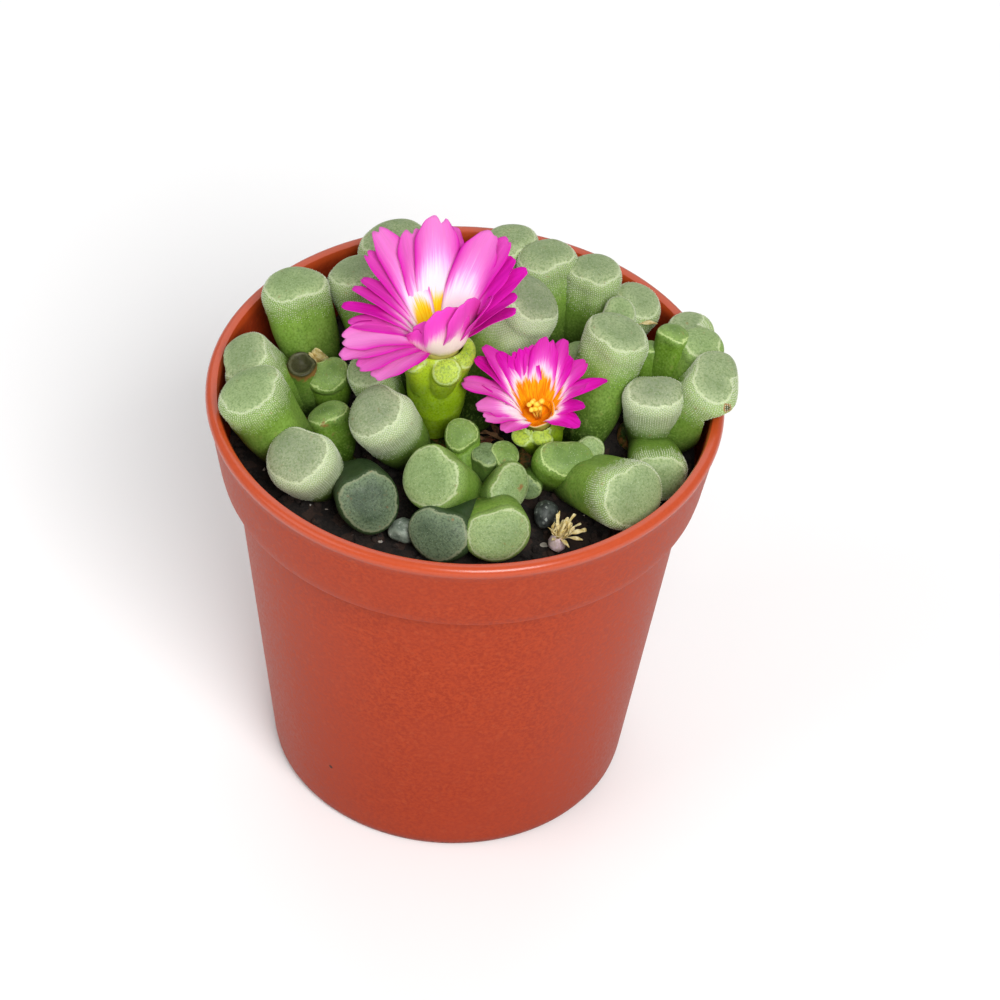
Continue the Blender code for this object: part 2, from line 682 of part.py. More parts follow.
def pebble(name, centre, size, seed):
    """A small worn stone lying on the soil."""
    work = bmesh.new()
    bmesh.ops.create_icosphere(work, subdivisions=2, radius=1.0)
    for vertex in work.verts:
        bump = 1.0 + PEBBLE_ROUGHNESS * noise.noise(vertex.co * PEBBLE_GRAIN + Vector((seed, 0.0, 0.0)))
        vertex.co = Vector((0.5 * size[0] * vertex.co.x, 0.5 * size[1] * vertex.co.y,
                            0.5 * size[2] * vertex.co.z)) * bump
    lowest = min(vertex.co.z for vertex in work.verts)
    for vertex in work.verts:
        place = Vector((centre[0], centre[1], SOIL_TOP + SOIL_RELIEF + GAP - lowest))
        vertex.co = MM * (vertex.co + place)
    mesh = bpy.data.meshes.new(name)
    work.to_mesh(mesh)
    work.free()
    return mesh


def withered_flower():
    """A spent flower: a short base with a tuft of dried strips."""
    base = Vector((*DRIED_AT, SOIL_TOP + SOIL_RELIEF + GAP))
    name = "withered_flower"
    pieces = [turned_along(name + "_base", DRIED_BASE, base, base + Vector(DRIED_LEAN), 10)]
    random.seed(name)
    for number in range(DRIED_STRIPS):
        angle = 2.0 * math.pi * number / DRIED_STRIPS + random.uniform(-0.2, 0.2)
        root = base + Vector((0.35 * math.cos(angle), 0.35 * math.sin(angle), 0.9))
        rise = math.radians(random.uniform(*DRIED_RISE))
        tip = root + polar(angle, rise, random.uniform(*DRIED_REACH))
        pieces.append(petal(f"{name}_{number}", root, tip, angle, DRIED_WIDTH))
    return joined(name, pieces)


def stamens(flower):
    """A tuft of stamens that stands in a flower's tube."""
    foot, throat = flower_axis(flower)
    length = (throat - foot).length
    floor = (1.0 - TUBE_SHARE) * length + TUBE_FLOOR + GAP
    reach = flower["tube_radius"] - TUBE_WALL - GAP
    count = flower["stamens"]
    name = flower["name"] + "_stamens"
    profile = ((0.0, floor + STAMEN_BASE), (reach, floor + STAMEN_BASE), (reach, floor), (0.0, floor))
    pieces = [turned_along(name + "_base", profile, foot, throat, 10)]
    direction = (throat - foot).normalized()
    across = direction.cross(Vector((1.0, 0.0, 0.0))).normalized()
    other = direction.cross(across)
    turns = [2.0 * math.pi * side / STAMEN_SIDES for side in range(STAMEN_SIDES)]
    for number in range(count):
        angle = 2.0 * math.pi * number / count
        offset = STAMEN_SPREAD * reach * (math.cos(angle) * across + math.sin(angle) * other)
        rings = []
        for along, radius in STAMEN_RADII:
            centre = foot + direction * (floor + flower["stamen_height"] * along)
            centre += offset * (1.0 + STAMEN_SPLAY * along)
            rings.append([centre + radius * (math.cos(turn) * across + math.sin(turn) * other)
                          for turn in turns])
        pieces.append(loft(f"{name}_{number}", rings, middle_of(rings[0]), middle_of(rings[-1])))
    return joined(name, pieces)


def build():
    """Make every sub-part."""
    for leftover in list(bpy.data.objects):
        bpy.data.objects.remove(leftover)
    parts = bpy.data.collections.new("potted_frithia")
    cutters = bpy.data.collections.new("cutters")
    bpy.context.scene.collection.children.link(parts)
    bpy.context.scene.collection.children.link(cutters)

    terracotta = material("pot_plastic", (0.42, 0.08, 0.03), 0.5)
    earth = material("soil", (0.02, 0.014, 0.01), 0.95)
    leaf_green = material("leaf_green", (0.16, 0.30, 0.08), 0.55)
    fresh_green = material("calyx_green", (0.30, 0.45, 0.05), 0.5)
    magenta = material("petal_magenta", (0.62, 0.03, 0.42), 0.6)
    yellow = material("stamen_yellow", (0.85, 0.42, 0.02), 0.6)
    dark_stone = material("dark_stone", (0.03, 0.035, 0.03), 0.6)
    grey_stone = material("grey_stone", (0.22, 0.26, 0.22), 0.7)
    dried = material("dried_flower", (0.62, 0.50, 0.22), 0.8)

    pot_body = add_object("pot", pot(), parts, terracotta)
    cut(pot_body, [drain_cutter(f"drain_{number}", number) for number in range(DRAIN_HOLES)], cutters)
    soil_body = add_object("soil", soil(), parts, earth)
    cut(soil_body, [crown_cutter(name + "_hole", centre, radius)
                    for name, (centre, radius, leaves) in ROSETTES.items()], cutters)
    flowers = {flower["rosette"]: flower for flower in (BIG_FLOWER, SMALL_FLOWER)}
    for name, (centre, radius, leaves) in ROSETTES.items():
        add_object(name, rosette(name, centre, radius, leaves, flowers.get(name)), parts, leaf_green)
    for flower in (BIG_FLOWER, SMALL_FLOWER):
        add_object(flower["name"] + "_calyx", calyx(flower), parts, fresh_green)
        add_object(flower["name"] + "_petals", corolla(flower), parts, magenta)
        add_object(flower["name"] + "_stamens", stamens(flower), parts, yellow)
    for name, centre, size, seed, look in (("dark_pebble", (9.2, -11.6), (2.6, 3.2, 2.6), 1.0, dark_stone),
                                           ("grey_pebble", (-5.5, -15.2), (3.2, 3.0, 2.2), 5.0, grey_stone)):
        add_object(name, pebble(name, centre, size, seed), parts, look)
    add_object("withered_flower", withered_flower(), parts, dried)


build()
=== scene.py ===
"""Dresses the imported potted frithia: fine leaves, petals, pot and soil round the fixed CAD frame.

Lengths are in millimetres and are scaled to metres as each mesh is made.
"""
import math

import bpy
import numpy as np
from mathutils import Matrix, Vector, noise


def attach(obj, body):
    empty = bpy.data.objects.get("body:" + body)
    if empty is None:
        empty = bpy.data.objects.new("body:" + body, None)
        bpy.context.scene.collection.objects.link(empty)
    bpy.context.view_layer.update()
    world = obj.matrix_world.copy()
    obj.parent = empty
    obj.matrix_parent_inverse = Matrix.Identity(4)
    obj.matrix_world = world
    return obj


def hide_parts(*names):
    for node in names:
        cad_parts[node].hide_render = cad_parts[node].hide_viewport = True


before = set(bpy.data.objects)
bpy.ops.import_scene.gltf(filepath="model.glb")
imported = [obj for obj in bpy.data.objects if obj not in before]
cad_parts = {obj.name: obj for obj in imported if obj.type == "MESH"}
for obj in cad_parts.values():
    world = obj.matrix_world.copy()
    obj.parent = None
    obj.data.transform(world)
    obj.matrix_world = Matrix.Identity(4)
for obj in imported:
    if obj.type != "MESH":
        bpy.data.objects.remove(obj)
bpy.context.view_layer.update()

# Without a seed of its own, noise_vector takes its offsets from the clock.
NOISE_SEED = 11
noise.seed_set(NOISE_SEED)

MM = 0.001
UP = np.array((0.0, 0.0, 1.0))
FRONT = np.array((0.0, -1.0, 0.0))

# Sizes that the solids have too.
GAP = 0.3
POT_HEIGHT = 49.5
RIM_RADIUS = 27.5
LIP_WIDTH = 1.5
BAND_HEIGHT = 9.5
BAND_FOOT_RADIUS = 25.8
BODY_TOP_RADIUS = 24.3
BODY_FOOT_RADIUS = 19.3
WALL = 0.85
FLOOR_TOP = 1.8
RECESS_HEIGHT = 0.8
FOOT_RING = (18.6, 17.0)
CENTRE_PAD_RADIUS = 5.0
DRAIN_HOLES = 4
DRAIN_RADIUS = 2.1
DRAIN_CIRCLE = 11.0
SOIL_TOP = 41.5
CROWN_DEPTH = 3.2
CROWN_RISE = 1.5
LEAF_CLEARANCE = 0.5
STALK_CLEARANCE = 0.9
CLEARANCE_STEP = 0.06
SINK_SLOPE = 0.8
STALK_FOOT_SHARE = 0.62
ROOT_SHARE = 0.45
FLOWERED_ROOT_SHARE = 0.72
ROOT_HEIGHT = 0.4
FOOT_HEIGHT = 2.0
BACK_SWELL = 1.08
FACE_DEPTH = 0.92
DENT_DEPTH = 0.18
DENT_WIDTH = 0.45
TUBE_SHARE = 0.36

# How finer leaves keep off the soil and the pot: the space over the soil, how far a leaf may lean
# out for each millimetre above the lip, how far out it may reach, and where that begins to ease.
SOIL_CLEARANCE = 0.5
LIP_SLOPE = 2.2
WIDEST_REACH = 28.9
REACH_SOFTNESS = 1.2

# How a finer leaf is divided and rounded, and its relative sizes at places along its body.
LEAF_SIZES = ((0.0, 0.42, 0.82, 1.0), (0.50, 0.76, 0.94, 1.0))
LEAF_SIDES = 56
SLIM_SIDES = 40
SLIM_WIDTH = 4.5
BODY_RINGS = 28
TIP_RINGS = 22
TIP_DEPTH = 2.0
TIP_SHARE = 0.28
TIP_SQUARENESS = 2.7
TIP_LIFT = 0.05
WINDOW_REACH = 0.90

# The rows on a leaf's skin: their width, and the gaps between papillae round it and along it.
ROW_STEP = 0.36
PAPILLA_GAP = 0.25
PAPILLA_STEP = 0.24

# How the flowers are divided and spread, their calyx's size and place along its height for each
# ring, in shares, and how far out crumbs lie.
FLOWER_SIDES = 64
SPIRAL_STEP = 2.4
CALYX_VOXEL = 0.13 * MM
CALYX_PROFILE = ((0.62, 0.0), (0.70, 0.08), (0.80, 0.18), (0.90, 0.30), (0.98, 0.44), (1.0, 0.56),
                 (1.0, 0.70), (0.98, 0.86), (0.94, 0.94), (0.85, 0.965))
CRUMB_REACH = 24.3

# What each kind of leaf shows: frost, freshness and darkness, each from 0 to 1. The darkness is the
# withered leaf's own dull colour; on leaves given the deep look or the darkest look it is partly
# their own deeper green and partly painted shade, as they lie in the shadow of other leaves.
LOOKS = {
    "frosted": (1.0, 0.0, 0.0),
    "grey": (0.7, 0.0, 0.0),
    "rimmed": (0.62, 0.1, 0.0),
    "edged": (0.3, 0.12, 0.0),
    "soft": (0.42, 0.0, 0.0),
    "green": (0.35, 0.25, 0.0),
    "fresh": (0.12, 1.0, 0.0),
    # Partly painted shade: leaves that lie in the shadow of others.
    "dark_and_shaded": (0.12, 0.0, 1.0),
    # Partly painted shade: small leaves hidden in the shadow of bigger ones.
    "deep": (0.0, 0.7, 0.6),
    "withered": (0.0, 0.6, 0.3),
}

# How deep a withered tip is hollowed, and how frosted a leaf has to be to bear papillae.
HOLLOW_DEPTH = 1.3
LEAST_FROST = 0.4

# Blemishes on the leaves: the middle of each over the soil, its radius and its strength.
STAINS = (((18.4, 4.4, 9.4), 0.6, 0.4), ((6.3, -10.6, 4.8), 0.7, 0.4),
          ((-14.5, -4.3, 5.8), 0.55, 0.45), ((27.6, -2.4, 10.1), 0.45, 0.9))

# Each rosette is its crown's centre and radius, then its leaves: foot (x, y), tip (x, y, height
# over the soil), width, depth, how far the window follows the lean, its look, which way the window
# lies off the middle of the tip, in half widths, and how far it turns to the front.
ROSETTES = {
    "left_back": ((-15.6, 4.6), 3.0, (
        ((-15.6, 6.8), (-18.8, 9.8, 13.0), 7.4, 6.8, 0.3, "soft", (0.0, 0.16), 0.12),
        ((-18.0, 4.4), (-23.5, 1.8, 9.8), 7.2, 6.6, 0.7, "grey", (-0.1, 0.16), 0.0),
        ((-13.8, 3.2), (-14.9, 2.4, 7.4), 4.8, 4.2, 0.7, "fresh", (0.05, 0.1), 0.6),
        ((-16.6, 2.8), (-17.5, 2.8, 8.3), 3.3, 3.3, 0.5, "withered", (0.0, 0.0), 0.3),
    )),
    "left_front": ((-14.0, -5.2), 3.4, (
        ((-17.2, -5.4), (-22.3, -5.6, 11.6), 7.8, 7.8, 0.8, "soft", (-0.05, 0.15), 0.1),
        ((-14.6, -8.2), (-17.0, -11.6, 8.4), 7.6, 7.4, 1.0, "frosted", (-0.04, 0.12), 0.0),
        # Darkened partly as painted shade, for the leaves that shadow it.
        ((-11.0, -7.6), (-9.3, -14.9, 5.4), 6.6, 7.2, 0.82, "dark_and_shaded", (0.0, 0.04), 0.0),
        ((-12.6, -3.6), (-14.5, -2.4, 6.2), 4.8, 4.0, 0.8, "fresh", (0.0, 0.05), 0.2),
    )),
    "big_flower": ((-3.4, 0.8), 4.2, (
        ((-5.6, -3.0), (-8.9, -6.8, 11.0), 7.2, 7.2, 1.0, "frosted", (-0.17, 0.16), 0.0),
        ((-7.6, 1.8), (-10.0, 1.6, 9.4), 6.0, 5.4, 0.7, "grey", (-0.1, 0.1), 0.2),
        ((0.8, 3.8), (5.8, 9.0, 13.6), 8.2, 7.4, 0.8, "frosted", (0.05, 0.28), 0.5),
        ((-6.2, 4.8), (-12.3, 13.0, 12.8), 7.2, 6.4, 0.4, "grey", (0.0, 0.16), 0.2),
        ((-2.6, 5.2), (-1.6, 12.0, 11.5), 6.6, 6.0, 0.4, "grey", (0.0, 0.16), 0.0),
    )),
    "back": ((-5.4, 16.2), 2.8, (
        ((-6.4, 17.8), (-9.1, 20.3, 11.5), 8.2, 5.8, 0.3, "grey", (0.0, 0.2), 0.15),
        ((-4.2, 17.4), (-3.6, 18.8, 8.0), 4.6, 4.4, 0.4, "green", (0.0, 0.1), 0.0),
    )),
    "front": ((1.4, -8.4), 3.4, (
        ((0.2, -8.2), (-2.9, -13.2, 8.1), 7.2, 7.2, 1.0, "edged", (-0.06, 0.0), 0.0),
        # Darkened partly as painted shade, for the leaves that shadow it.
        ((0.6, -11.0), (-1.9, -18.0, 4.3), 7.2, 6.2, 0.76, "dark_and_shaded", (0.0, 0.05), 0.0),
        ((3.4, -11.0), (4.3, -18.2, 5.1), 7.2, 6.0, 0.74, "edged", (0.0, 0.0), 0.0),
        ((3.4, -8.6), (5.3, -10.9, 4.9), 5.6, 4.6, 1.0, "green", (0.0, 0.0), 0.2),
        ((0.8, -6.4), (-0.2, -5.6, 6.8), 3.8, 3.8, 1.0, "fresh", (0.1, 0.05), 0.9),
        # Darkened partly as painted shade, for the bigger leaves that shadow it.
        ((2.4, -6.6), (2.5, -6.6, 5.3), 3.2, 3.2, 0.8, "deep", (0.0, 0.0), 0.3),
        ((3.6, -6.6), (4.5, -6.4, 5.4), 3.4, 3.2, 0.8, "fresh", (0.0, 0.0), 0.4),
    )),
    "small_flower": ((9.8, -1.8), 4.0, (
        ((11.6, -5.0), (18.0, -14.6, 8.4), 8.0, 7.4, 0.86, "rimmed", (0.14, 0.0), 0.0),
        ((9.8, -5.6), (11.1, -7.9, 6.9), 6.6, 4.8, 1.0, "fresh", (0.06, 0.12), 0.1),
        ((12.2, -0.4), (15.8, 4.2, 13.9), 7.4, 6.6, 0.8, "grey", (-0.05, 0.14), 0.35),
        ((10.4, 2.2), (12.4, 6.9, 8.5), 4.6, 4.6, 0.6, "green", (-0.1, 0.1), 0.3),
        ((12.0, -4.0), (13.0, -6.4, 6.3), 4.6, 3.4, 0.8, "green", (0.0, 0.0), 0.4),
        # Darkened partly as painted shade, for the bigger leaves that shadow it.
        ((7.8, -5.0), (7.2, -9.3, 3.3), 3.0, 3.0, 1.0, "deep", (0.0, 0.0), 0.0),
    )),
    "right_back": ((10.6, 12.6), 3.6, (
        ((8.6, 14.4), (3.5, 20.2, 11.8), 6.8, 6.2, 0.4, "grey", (0.0, 0.2), 0.35),
        ((10.0, 14.8), (7.8, 17.4, 12.6), 6.8, 6.2, 0.4, "grey", (-0.06, 0.18), 0.2),
        ((12.2, 13.8), (12.9, 16.4, 12.0), 6.0, 6.0, 0.4, "grey", (0.0, 0.16), 0.18),
        ((13.0, 12.2), (17.8, 14.3, 10.0), 6.2, 5.2, 0.4, "grey", (0.0, 0.14), 0.2),
        ((12.8, 11.2), (15.7, 11.1, 10.9), 4.6, 3.8, 0.5, "soft", (0.0, 0.1), 0.3),
    )),
    "right": ((19.2, 3.4), 2.8, (
        ((19.9, 1.2), (19.9, -0.9, 10.8), 6.7, 5.6, 0.3, "frosted", (0.03, 0.13), 0.12),
        ((21.2, 1.6), (26.5, 0.5, 11.6), 8.0, 7.6, 0.5, "grey", (0.08, 0.16), 0.25),
        ((21.0, 4.6), (24.6, 6.8, 11.0), 5.0, 5.6, 0.5, "green", (0.0, 0.12), 0.25),
        ((20.6, 5.6), (23.9, 10.1, 10.2), 5.8, 4.8, 0.3, "grey", (0.0, 0.14), 0.25),
        ((20.2, 4.8), (21.7, 7.4, 11.7), 4.0, 3.4, 0.6, "fresh", (0.0, 0.08), 0.1),
        ((19.0, 4.8), (19.3, 7.6, 9.4), 2.8, 2.8, 0.6, "fresh", (0.0, 0.0), 0.0),
        ((19.8, 0.8), (21.0, -8.0, 4.8), 6.2, 5.8, 0.9, "soft", (-0.08, 0.16), 0.1),
    )),
}

# Each flower is the foot of its stalk, its throat, its calyx and its tube. Its sepals are the
# root, the tip, the width, the depth and the way the window faces. Its petals are the azimuth,
# elevation and reach of the tip from the aim, the width, how far the tip curls inwards, where
# its yellow foot and its white middle end along it, and how pale it is.
BIG_FLOWER = {
    "name": "big_flower",
    "foot": (-3.1, 0.8, 1.9),
    "throat": (-3.1, 1.2, 14.1),
    "aim": (-5.3, 1.4, 14.2),
    "calyx_radius": 3.3,
    "tube_radius": 2.1,
    "sepals": (
        ((-2.7, -1.2, 9.6), (-2.15, -2.7, 13.1), 3.3, 2.9, (-0.05, -0.75, 0.65)),
        ((-4.9, -0.8, 9.4), (-5.9, -1.4, 13.5), 3.4, 2.4, (-0.3, -0.5, 0.8)),
        ((-1.3, 0.8, 9.0), (-0.3, 0.4, 13.3), 4.2, 2.6, (0.3, -0.4, 0.9)),
        ((-3.3, 3.7, 9.2), (-3.1, 5.0, 12.0), 3.2, 2.5, (0.0, 0.3, 1.0)),
        ((-5.3, 2.7, 9.2), (-6.2, 3.3, 12.0), 2.8, 2.2, (-0.2, 0.2, 1.0))),
    "petals": (
        (354, 27, 11.3, 3.0, -0.1, 0.02, 0.26, 0.0), (5, 29, 11.5, 3.2, -0.1, 0.02, 0.28, 0.0),
        (19, 31, 13.4, 3.0, -0.1, 0.02, 0.34, 0.0), (28, 34, 13.0, 3.8, 0.0, 0.02, 0.38, 0.0),
        (37, 38, 13.9, 3.0, -0.1, 0.02, 0.46, 0.1), (46, 41, 13.4, 4.2, 0.0, 0.06, 0.56, 0.3),
        (72, 40, 12.2, 3.4, 0.0, 0.12, 0.54, 0.2), (83, 45, 12.9, 4.8, 0.1, 0.34, 0.60, 0.35),
        (101, 42, 11.4, 4.4, 0.0, 0.32, 0.52, 0.25), (122, 38, 12.2, 3.6, 0.0, 0.34, 0.52, 0.3),
        (133, 33, 10.4, 2.8, -0.1, 0.20, 0.44, 0.1), (146, 27, 8.4, 2.4, -0.1, 0.14, 0.42, 0.05),
        (157, 25, 8.4, 2.8, -0.2, 0.12, 0.40, 0.05), (172, 18, 8.5, 2.4, -0.2, 0.08, 0.36, 0.0),
        (182, 11, 7.4, 2.6, -0.2, 0.05, 0.28, 0.1), (198, 6, 8.1, 4.0, -0.3, 0.02, 0.20, 0.4),
        (207, 0, 8.6, 3.4, -0.4, 0.02, 0.16, 0.3), (221, -4, 7.6, 3.6, -0.4, 0.02, 0.14, 0.2),
        (236, -6, 7.2, 4.6, -0.4, 0.02, 0.12, 0.35), (254, 0, 5.0, 2.6, -0.3, 0.02, 0.18, 0.1),
        (274, 46, 4.8, 4.0, 0.5, 0.10, 0.58, 0.0), (287, 52, 5.6, 3.6, 0.5, 0.10, 0.60, 0.0),
        (310, 56, 8.5, 5.0, 0.4, 0.10, 0.62, 0.0), (330, 53, 9.7, 5.0, 0.2, 0.10, 0.56, 0.05),
        (344, 44, 10.8, 4.2, 0.0, 0.06, 0.36, 0.0)),
}
SMALL_FLOWER = {
    "name": "small_flower",
    "foot": (8.9, -1.4, 1.9),
    "throat": (7.6, -3.1, 8.6),
    "aim": (7.6, -3.1, 8.6),
    "calyx_radius": 2.3,
    "tube_radius": 1.6,
    "sepals": (
        ((7.0, -4.2, 5.2), (6.1, -5.4, 7.0), 2.3, 1.7, (-0.2, -0.6, 0.8)),
        ((8.2, -4.0, 5.2), (8.4, -5.4, 7.1), 2.6, 1.7, (0.1, -0.7, 0.8)),
        ((9.8, -1.6, 5.2), (10.7, -1.2, 6.8), 1.8, 1.5, (0.3, 0.0, 1.0))),
    "petals": (
        (7, 8, 5.0, 2.6, -0.2, 0.26, 0.38, 0.0), (332, 5, 5.0, 3.2, -0.2, 0.12, 0.36, 0.0),
        (26, 14, 8.1, 1.7, -0.2, 0.42, 0.50, 0.0), (32, 17, 6.4, 2.3, -0.1, 0.48, 0.56, 0.05),
        (46, 24, 7.6, 2.4, -0.1, 0.48, 0.58, 0.05), (57, 31, 7.0, 2.0, 0.0, 0.50, 0.58, 0.0),
        (68, 36, 8.3, 2.4, 0.0, 0.50, 0.60, 0.05), (84, 40, 8.0, 3.0, 0.0, 0.52, 0.60, 0.05),
        (96, 38, 7.2, 2.6, 0.0, 0.54, 0.60, 0.05), (110, 38, 7.0, 2.6, 0.0, 0.54, 0.60, 0.0),
        (123, 36, 6.8, 2.4, 0.0, 0.52, 0.60, 0.0), (135, 34, 7.4, 2.2, -0.1, 0.48, 0.58, 0.0),
        (144, 34, 8.8, 3.0, -0.1, 0.44, 0.58, 0.05), (153, 28, 8.4, 2.6, -0.2, 0.38, 0.52, 0.0),
        (165, 20, 6.4, 1.8, -0.2, 0.30, 0.44, 0.05), (170, 16, 8.2, 2.3, -0.3, 0.20, 0.44, 0.2),
        (187, 8, 6.3, 3.4, -0.2, 0.12, 0.56, 0.3), (203, 6, 5.8, 3.2, -0.2, 0.10, 0.56, 0.3),
        (228, 4, 4.9, 3.0, -0.2, 0.08, 0.50, 0.2)),
}

# Dry scraps: the root, the tip, the azimuth they face in degrees, the width and how brown it is.
SCRAPS = (((-15.5, 5.0, 6.0), (-15.9, 4.9, 8.6), 250, 2.0, 1.0),
          ((-16.0, 4.9, 6.4), (-16.7, 4.6, 8.0), 200, 1.4, 1.1),
          ((17.9, 11.7, 8.6), (20.0, 11.2, 9.4), 330, 0.6, 1.3),
          ((-5.9, -13.9, 0.3), (-5.2, -13.6, 2.0), 60, 0.6, 1.0),
          ((-5.0, -13.7, 0.2), (-5.0, -12.4, 0.8), 60, 0.7, 1.0))


def rgb(red, green, blue):
    """A colour given as screen values from 0 to 255, in the values that shaders use."""
    shares = np.array((red, green, blue)) / 255.0
    linear = np.where(shares <= 0.04045, shares / 12.92, ((shares + 0.055) / 1.055) ** 2.4)
    return (*linear.tolist(), 1.0)


# ---- Looks ----


class Nodes:
    """A node tree. Inputs are plain values or other nodes' outputs, colours are from 0 to 255."""

    def __init__(self, tree):
        self.tree = tree

    def link(self, value, socket):
        """Link a socket, or give it a plain value."""
        if isinstance(value, bpy.types.NodeSocket):
            self.tree.links.new(value, socket)
        else:
            socket.default_value = value

    def add(self, kind, inputs=None, **settings):
        """The outputs of a new node with these settings and inputs."""
        made = self.tree.nodes.new(kind)
        for key, value in settings.items():
            setattr(made, key, value)
        for key, value in (inputs or {}).items():
            self.link(value, made.inputs[key])
        return made.outputs

    def calc(self, operation, first, second=0.0, clamp=False):
        """The result of an operation on numbers."""
        return self.add("ShaderNodeMath", {0: first, 1: second}, operation=operation,
                        use_clamp=clamp)[0]

    def times(self, first, second, clamp=False):
        """A product."""
        return self.calc("MULTIPLY", first, second, clamp)

    def plus(self, first, second):
        """A sum."""
        return self.calc("ADD", first, second)

    def minus(self, first, second):
        """A difference."""
        return self.calc("SUBTRACT", first, second)

    def ranged(self, value, low, high, start=0.0, end=1.0, kind="SMOOTHSTEP"):
        """A value moved from one range to another, eased and held at its ends."""
        return self.add("ShaderNodeMapRange", {
            "Value": value, "From Min": low, "From Max": high, "To Min": start, "To Max": end},
            interpolation_type=kind)["Result"]

    def between(self, factor, first, second):
        """Two numbers mixed by a factor."""
        return self.ranged(factor, 0.0, 1.0, first, second, "LINEAR")

    def mixed(self, factor, *colours):
        """Two colours mixed by a factor."""
        first, second = (rgb(*colour) if isinstance(colour, tuple) else colour
                         for colour in colours)
        return self.add("ShaderNodeMix", {0: factor, 6: first, 7: second}, data_type="RGBA")[2]

    def layered(self, colour, *layers):
        """A colour with others over it, each with its mask before it."""
        for mask, over in layers:
            colour = self.mixed(mask, colour, over)
        return colour

    def noise(self, place, scale, detail=3.0, roughness=0.55):
        """A soft noise from 0 to 1."""
        return self.add("ShaderNodeTexNoise", {"Vector": place, "Scale": scale, "Detail": detail,
                                               "Roughness": roughness})["Fac"]

    def kept(self, name, output="Fac"):
        """A value kept on the piece's own mesh."""
        return self.add("ShaderNodeAttribute", attribute_name=name)[output]

    def parts(self, colour):
        """The three parts of a colour."""
        return self.add("ShaderNodeSeparateColor", {"Color": colour})

    def axes(self, vector):
        """The three parts of a place."""
        return self.add("ShaderNodeSeparateXYZ", {"Vector": vector})

    def uv_axes(self, name):
        """The two parts of a piece's own UV place."""
        return self.axes(self.add("ShaderNodeUVMap", uv_map=name)["UV"])


class Look(Nodes):
    """A material with its shader's inputs and the object's own coordinates."""

    def __init__(self, name, roughness, subsurface=0.0, specular=0.5):
        self.made = bpy.data.materials.new(name)
        self.made.use_nodes = True
        super().__init__(self.made.node_tree)
        self.shader = self.tree.nodes["Principled BSDF"].inputs
        for key, value in (("Roughness", roughness), ("Subsurface Weight", subsurface),
                           ("Subsurface Scale", 0.0012), ("Subsurface Radius", (1.0, 0.8, 0.4)),
                           ("Specular IOR Level", specular)):
            self.shader[key].default_value = value
        self.place = self.add("ShaderNodeTexCoord")["Object"]

    def grains(self, scale, spread):
        """Rounded grains."""
        return self.add("ShaderNodeGroup", {"Place": self.place, "Scale": scale, "Spread": spread},
                        node_tree=GRAINS)

    def specks(self, scale, share, size, place=None):
        """A mask of sparse specks."""
        return self.add("ShaderNodeGroup", {
            "Place": place or self.place, "Scale": scale, "Share": share, "Size": size},
            node_tree=SPECKS)["Mask"]

    def end(self, colour, height, strength, distance=0.0001):
        """The material, with its colour and its bumps."""
        self.link(colour, self.shader["Base Color"])
        if height:
            bump = self.add("ShaderNodeBump", {
                "Strength": strength, "Distance": distance, "Height": height})
            self.link(bump["Normal"], self.shader["Normal"])
        return self.made


def new_group(name, kind, inputs, outputs):
    """A node group with named sockets: its nodes, its given values and its results."""
    tree = bpy.data.node_groups.new(name, kind)
    for label, socket_kind, value in inputs:
        socket = tree.interface.new_socket(label, in_out="INPUT",
                                           socket_type="NodeSocket" + socket_kind)
        if value is not None:
            socket.default_value = value
    for label, socket_kind in outputs:
        tree.interface.new_socket(label, in_out="OUTPUT", socket_type="NodeSocket" + socket_kind)
    return (Nodes(tree), tree.nodes.new("NodeGroupInput").outputs,
            tree.nodes.new("NodeGroupOutput").inputs)


def grain_group():
    """Rounded grains: their heights, and a value that differs from grain to grain."""
    t, given, result = new_group(
        "rounded_grains", "ShaderNodeTree",
        (("Place", "Vector", None), ("Scale", "Float", 3000.0), ("Spread", "Float", 0.6)),
        (("Height", "Float"), ("Shade", "Float")))
    cells = t.add("ShaderNodeTexVoronoi", {"Vector": given["Place"], "Scale": given["Scale"]})
    t.link(t.ranged(cells["Distance"], 0.0, given["Spread"], 1.0, 0.0), result["Height"])
    t.link(t.parts(cells["Color"])[0], result["Shade"])
    return t.tree


def speck_group():
    """Sparse specks: a mask of small dots, few or many."""
    t, given, result = new_group(
        "sparse_specks", "ShaderNodeTree",
        (("Place", "Vector", None), ("Scale", "Float", 500.0), ("Share", "Float", 0.1),
         ("Size", "Float", 0.12)), (("Mask", "Float"),))
    cells = t.add("ShaderNodeTexVoronoi", {"Vector": given["Place"], "Scale": given["Scale"]})
    chosen = t.calc("LESS_THAN", t.parts(cells["Color"])[1], given["Share"])
    near = t.calc("LESS_THAN", cells["Distance"], given["Size"])
    t.link(t.times(chosen, near), result["Mask"])
    return t.tree


GRAINS = grain_group()
SPECKS = speck_group()


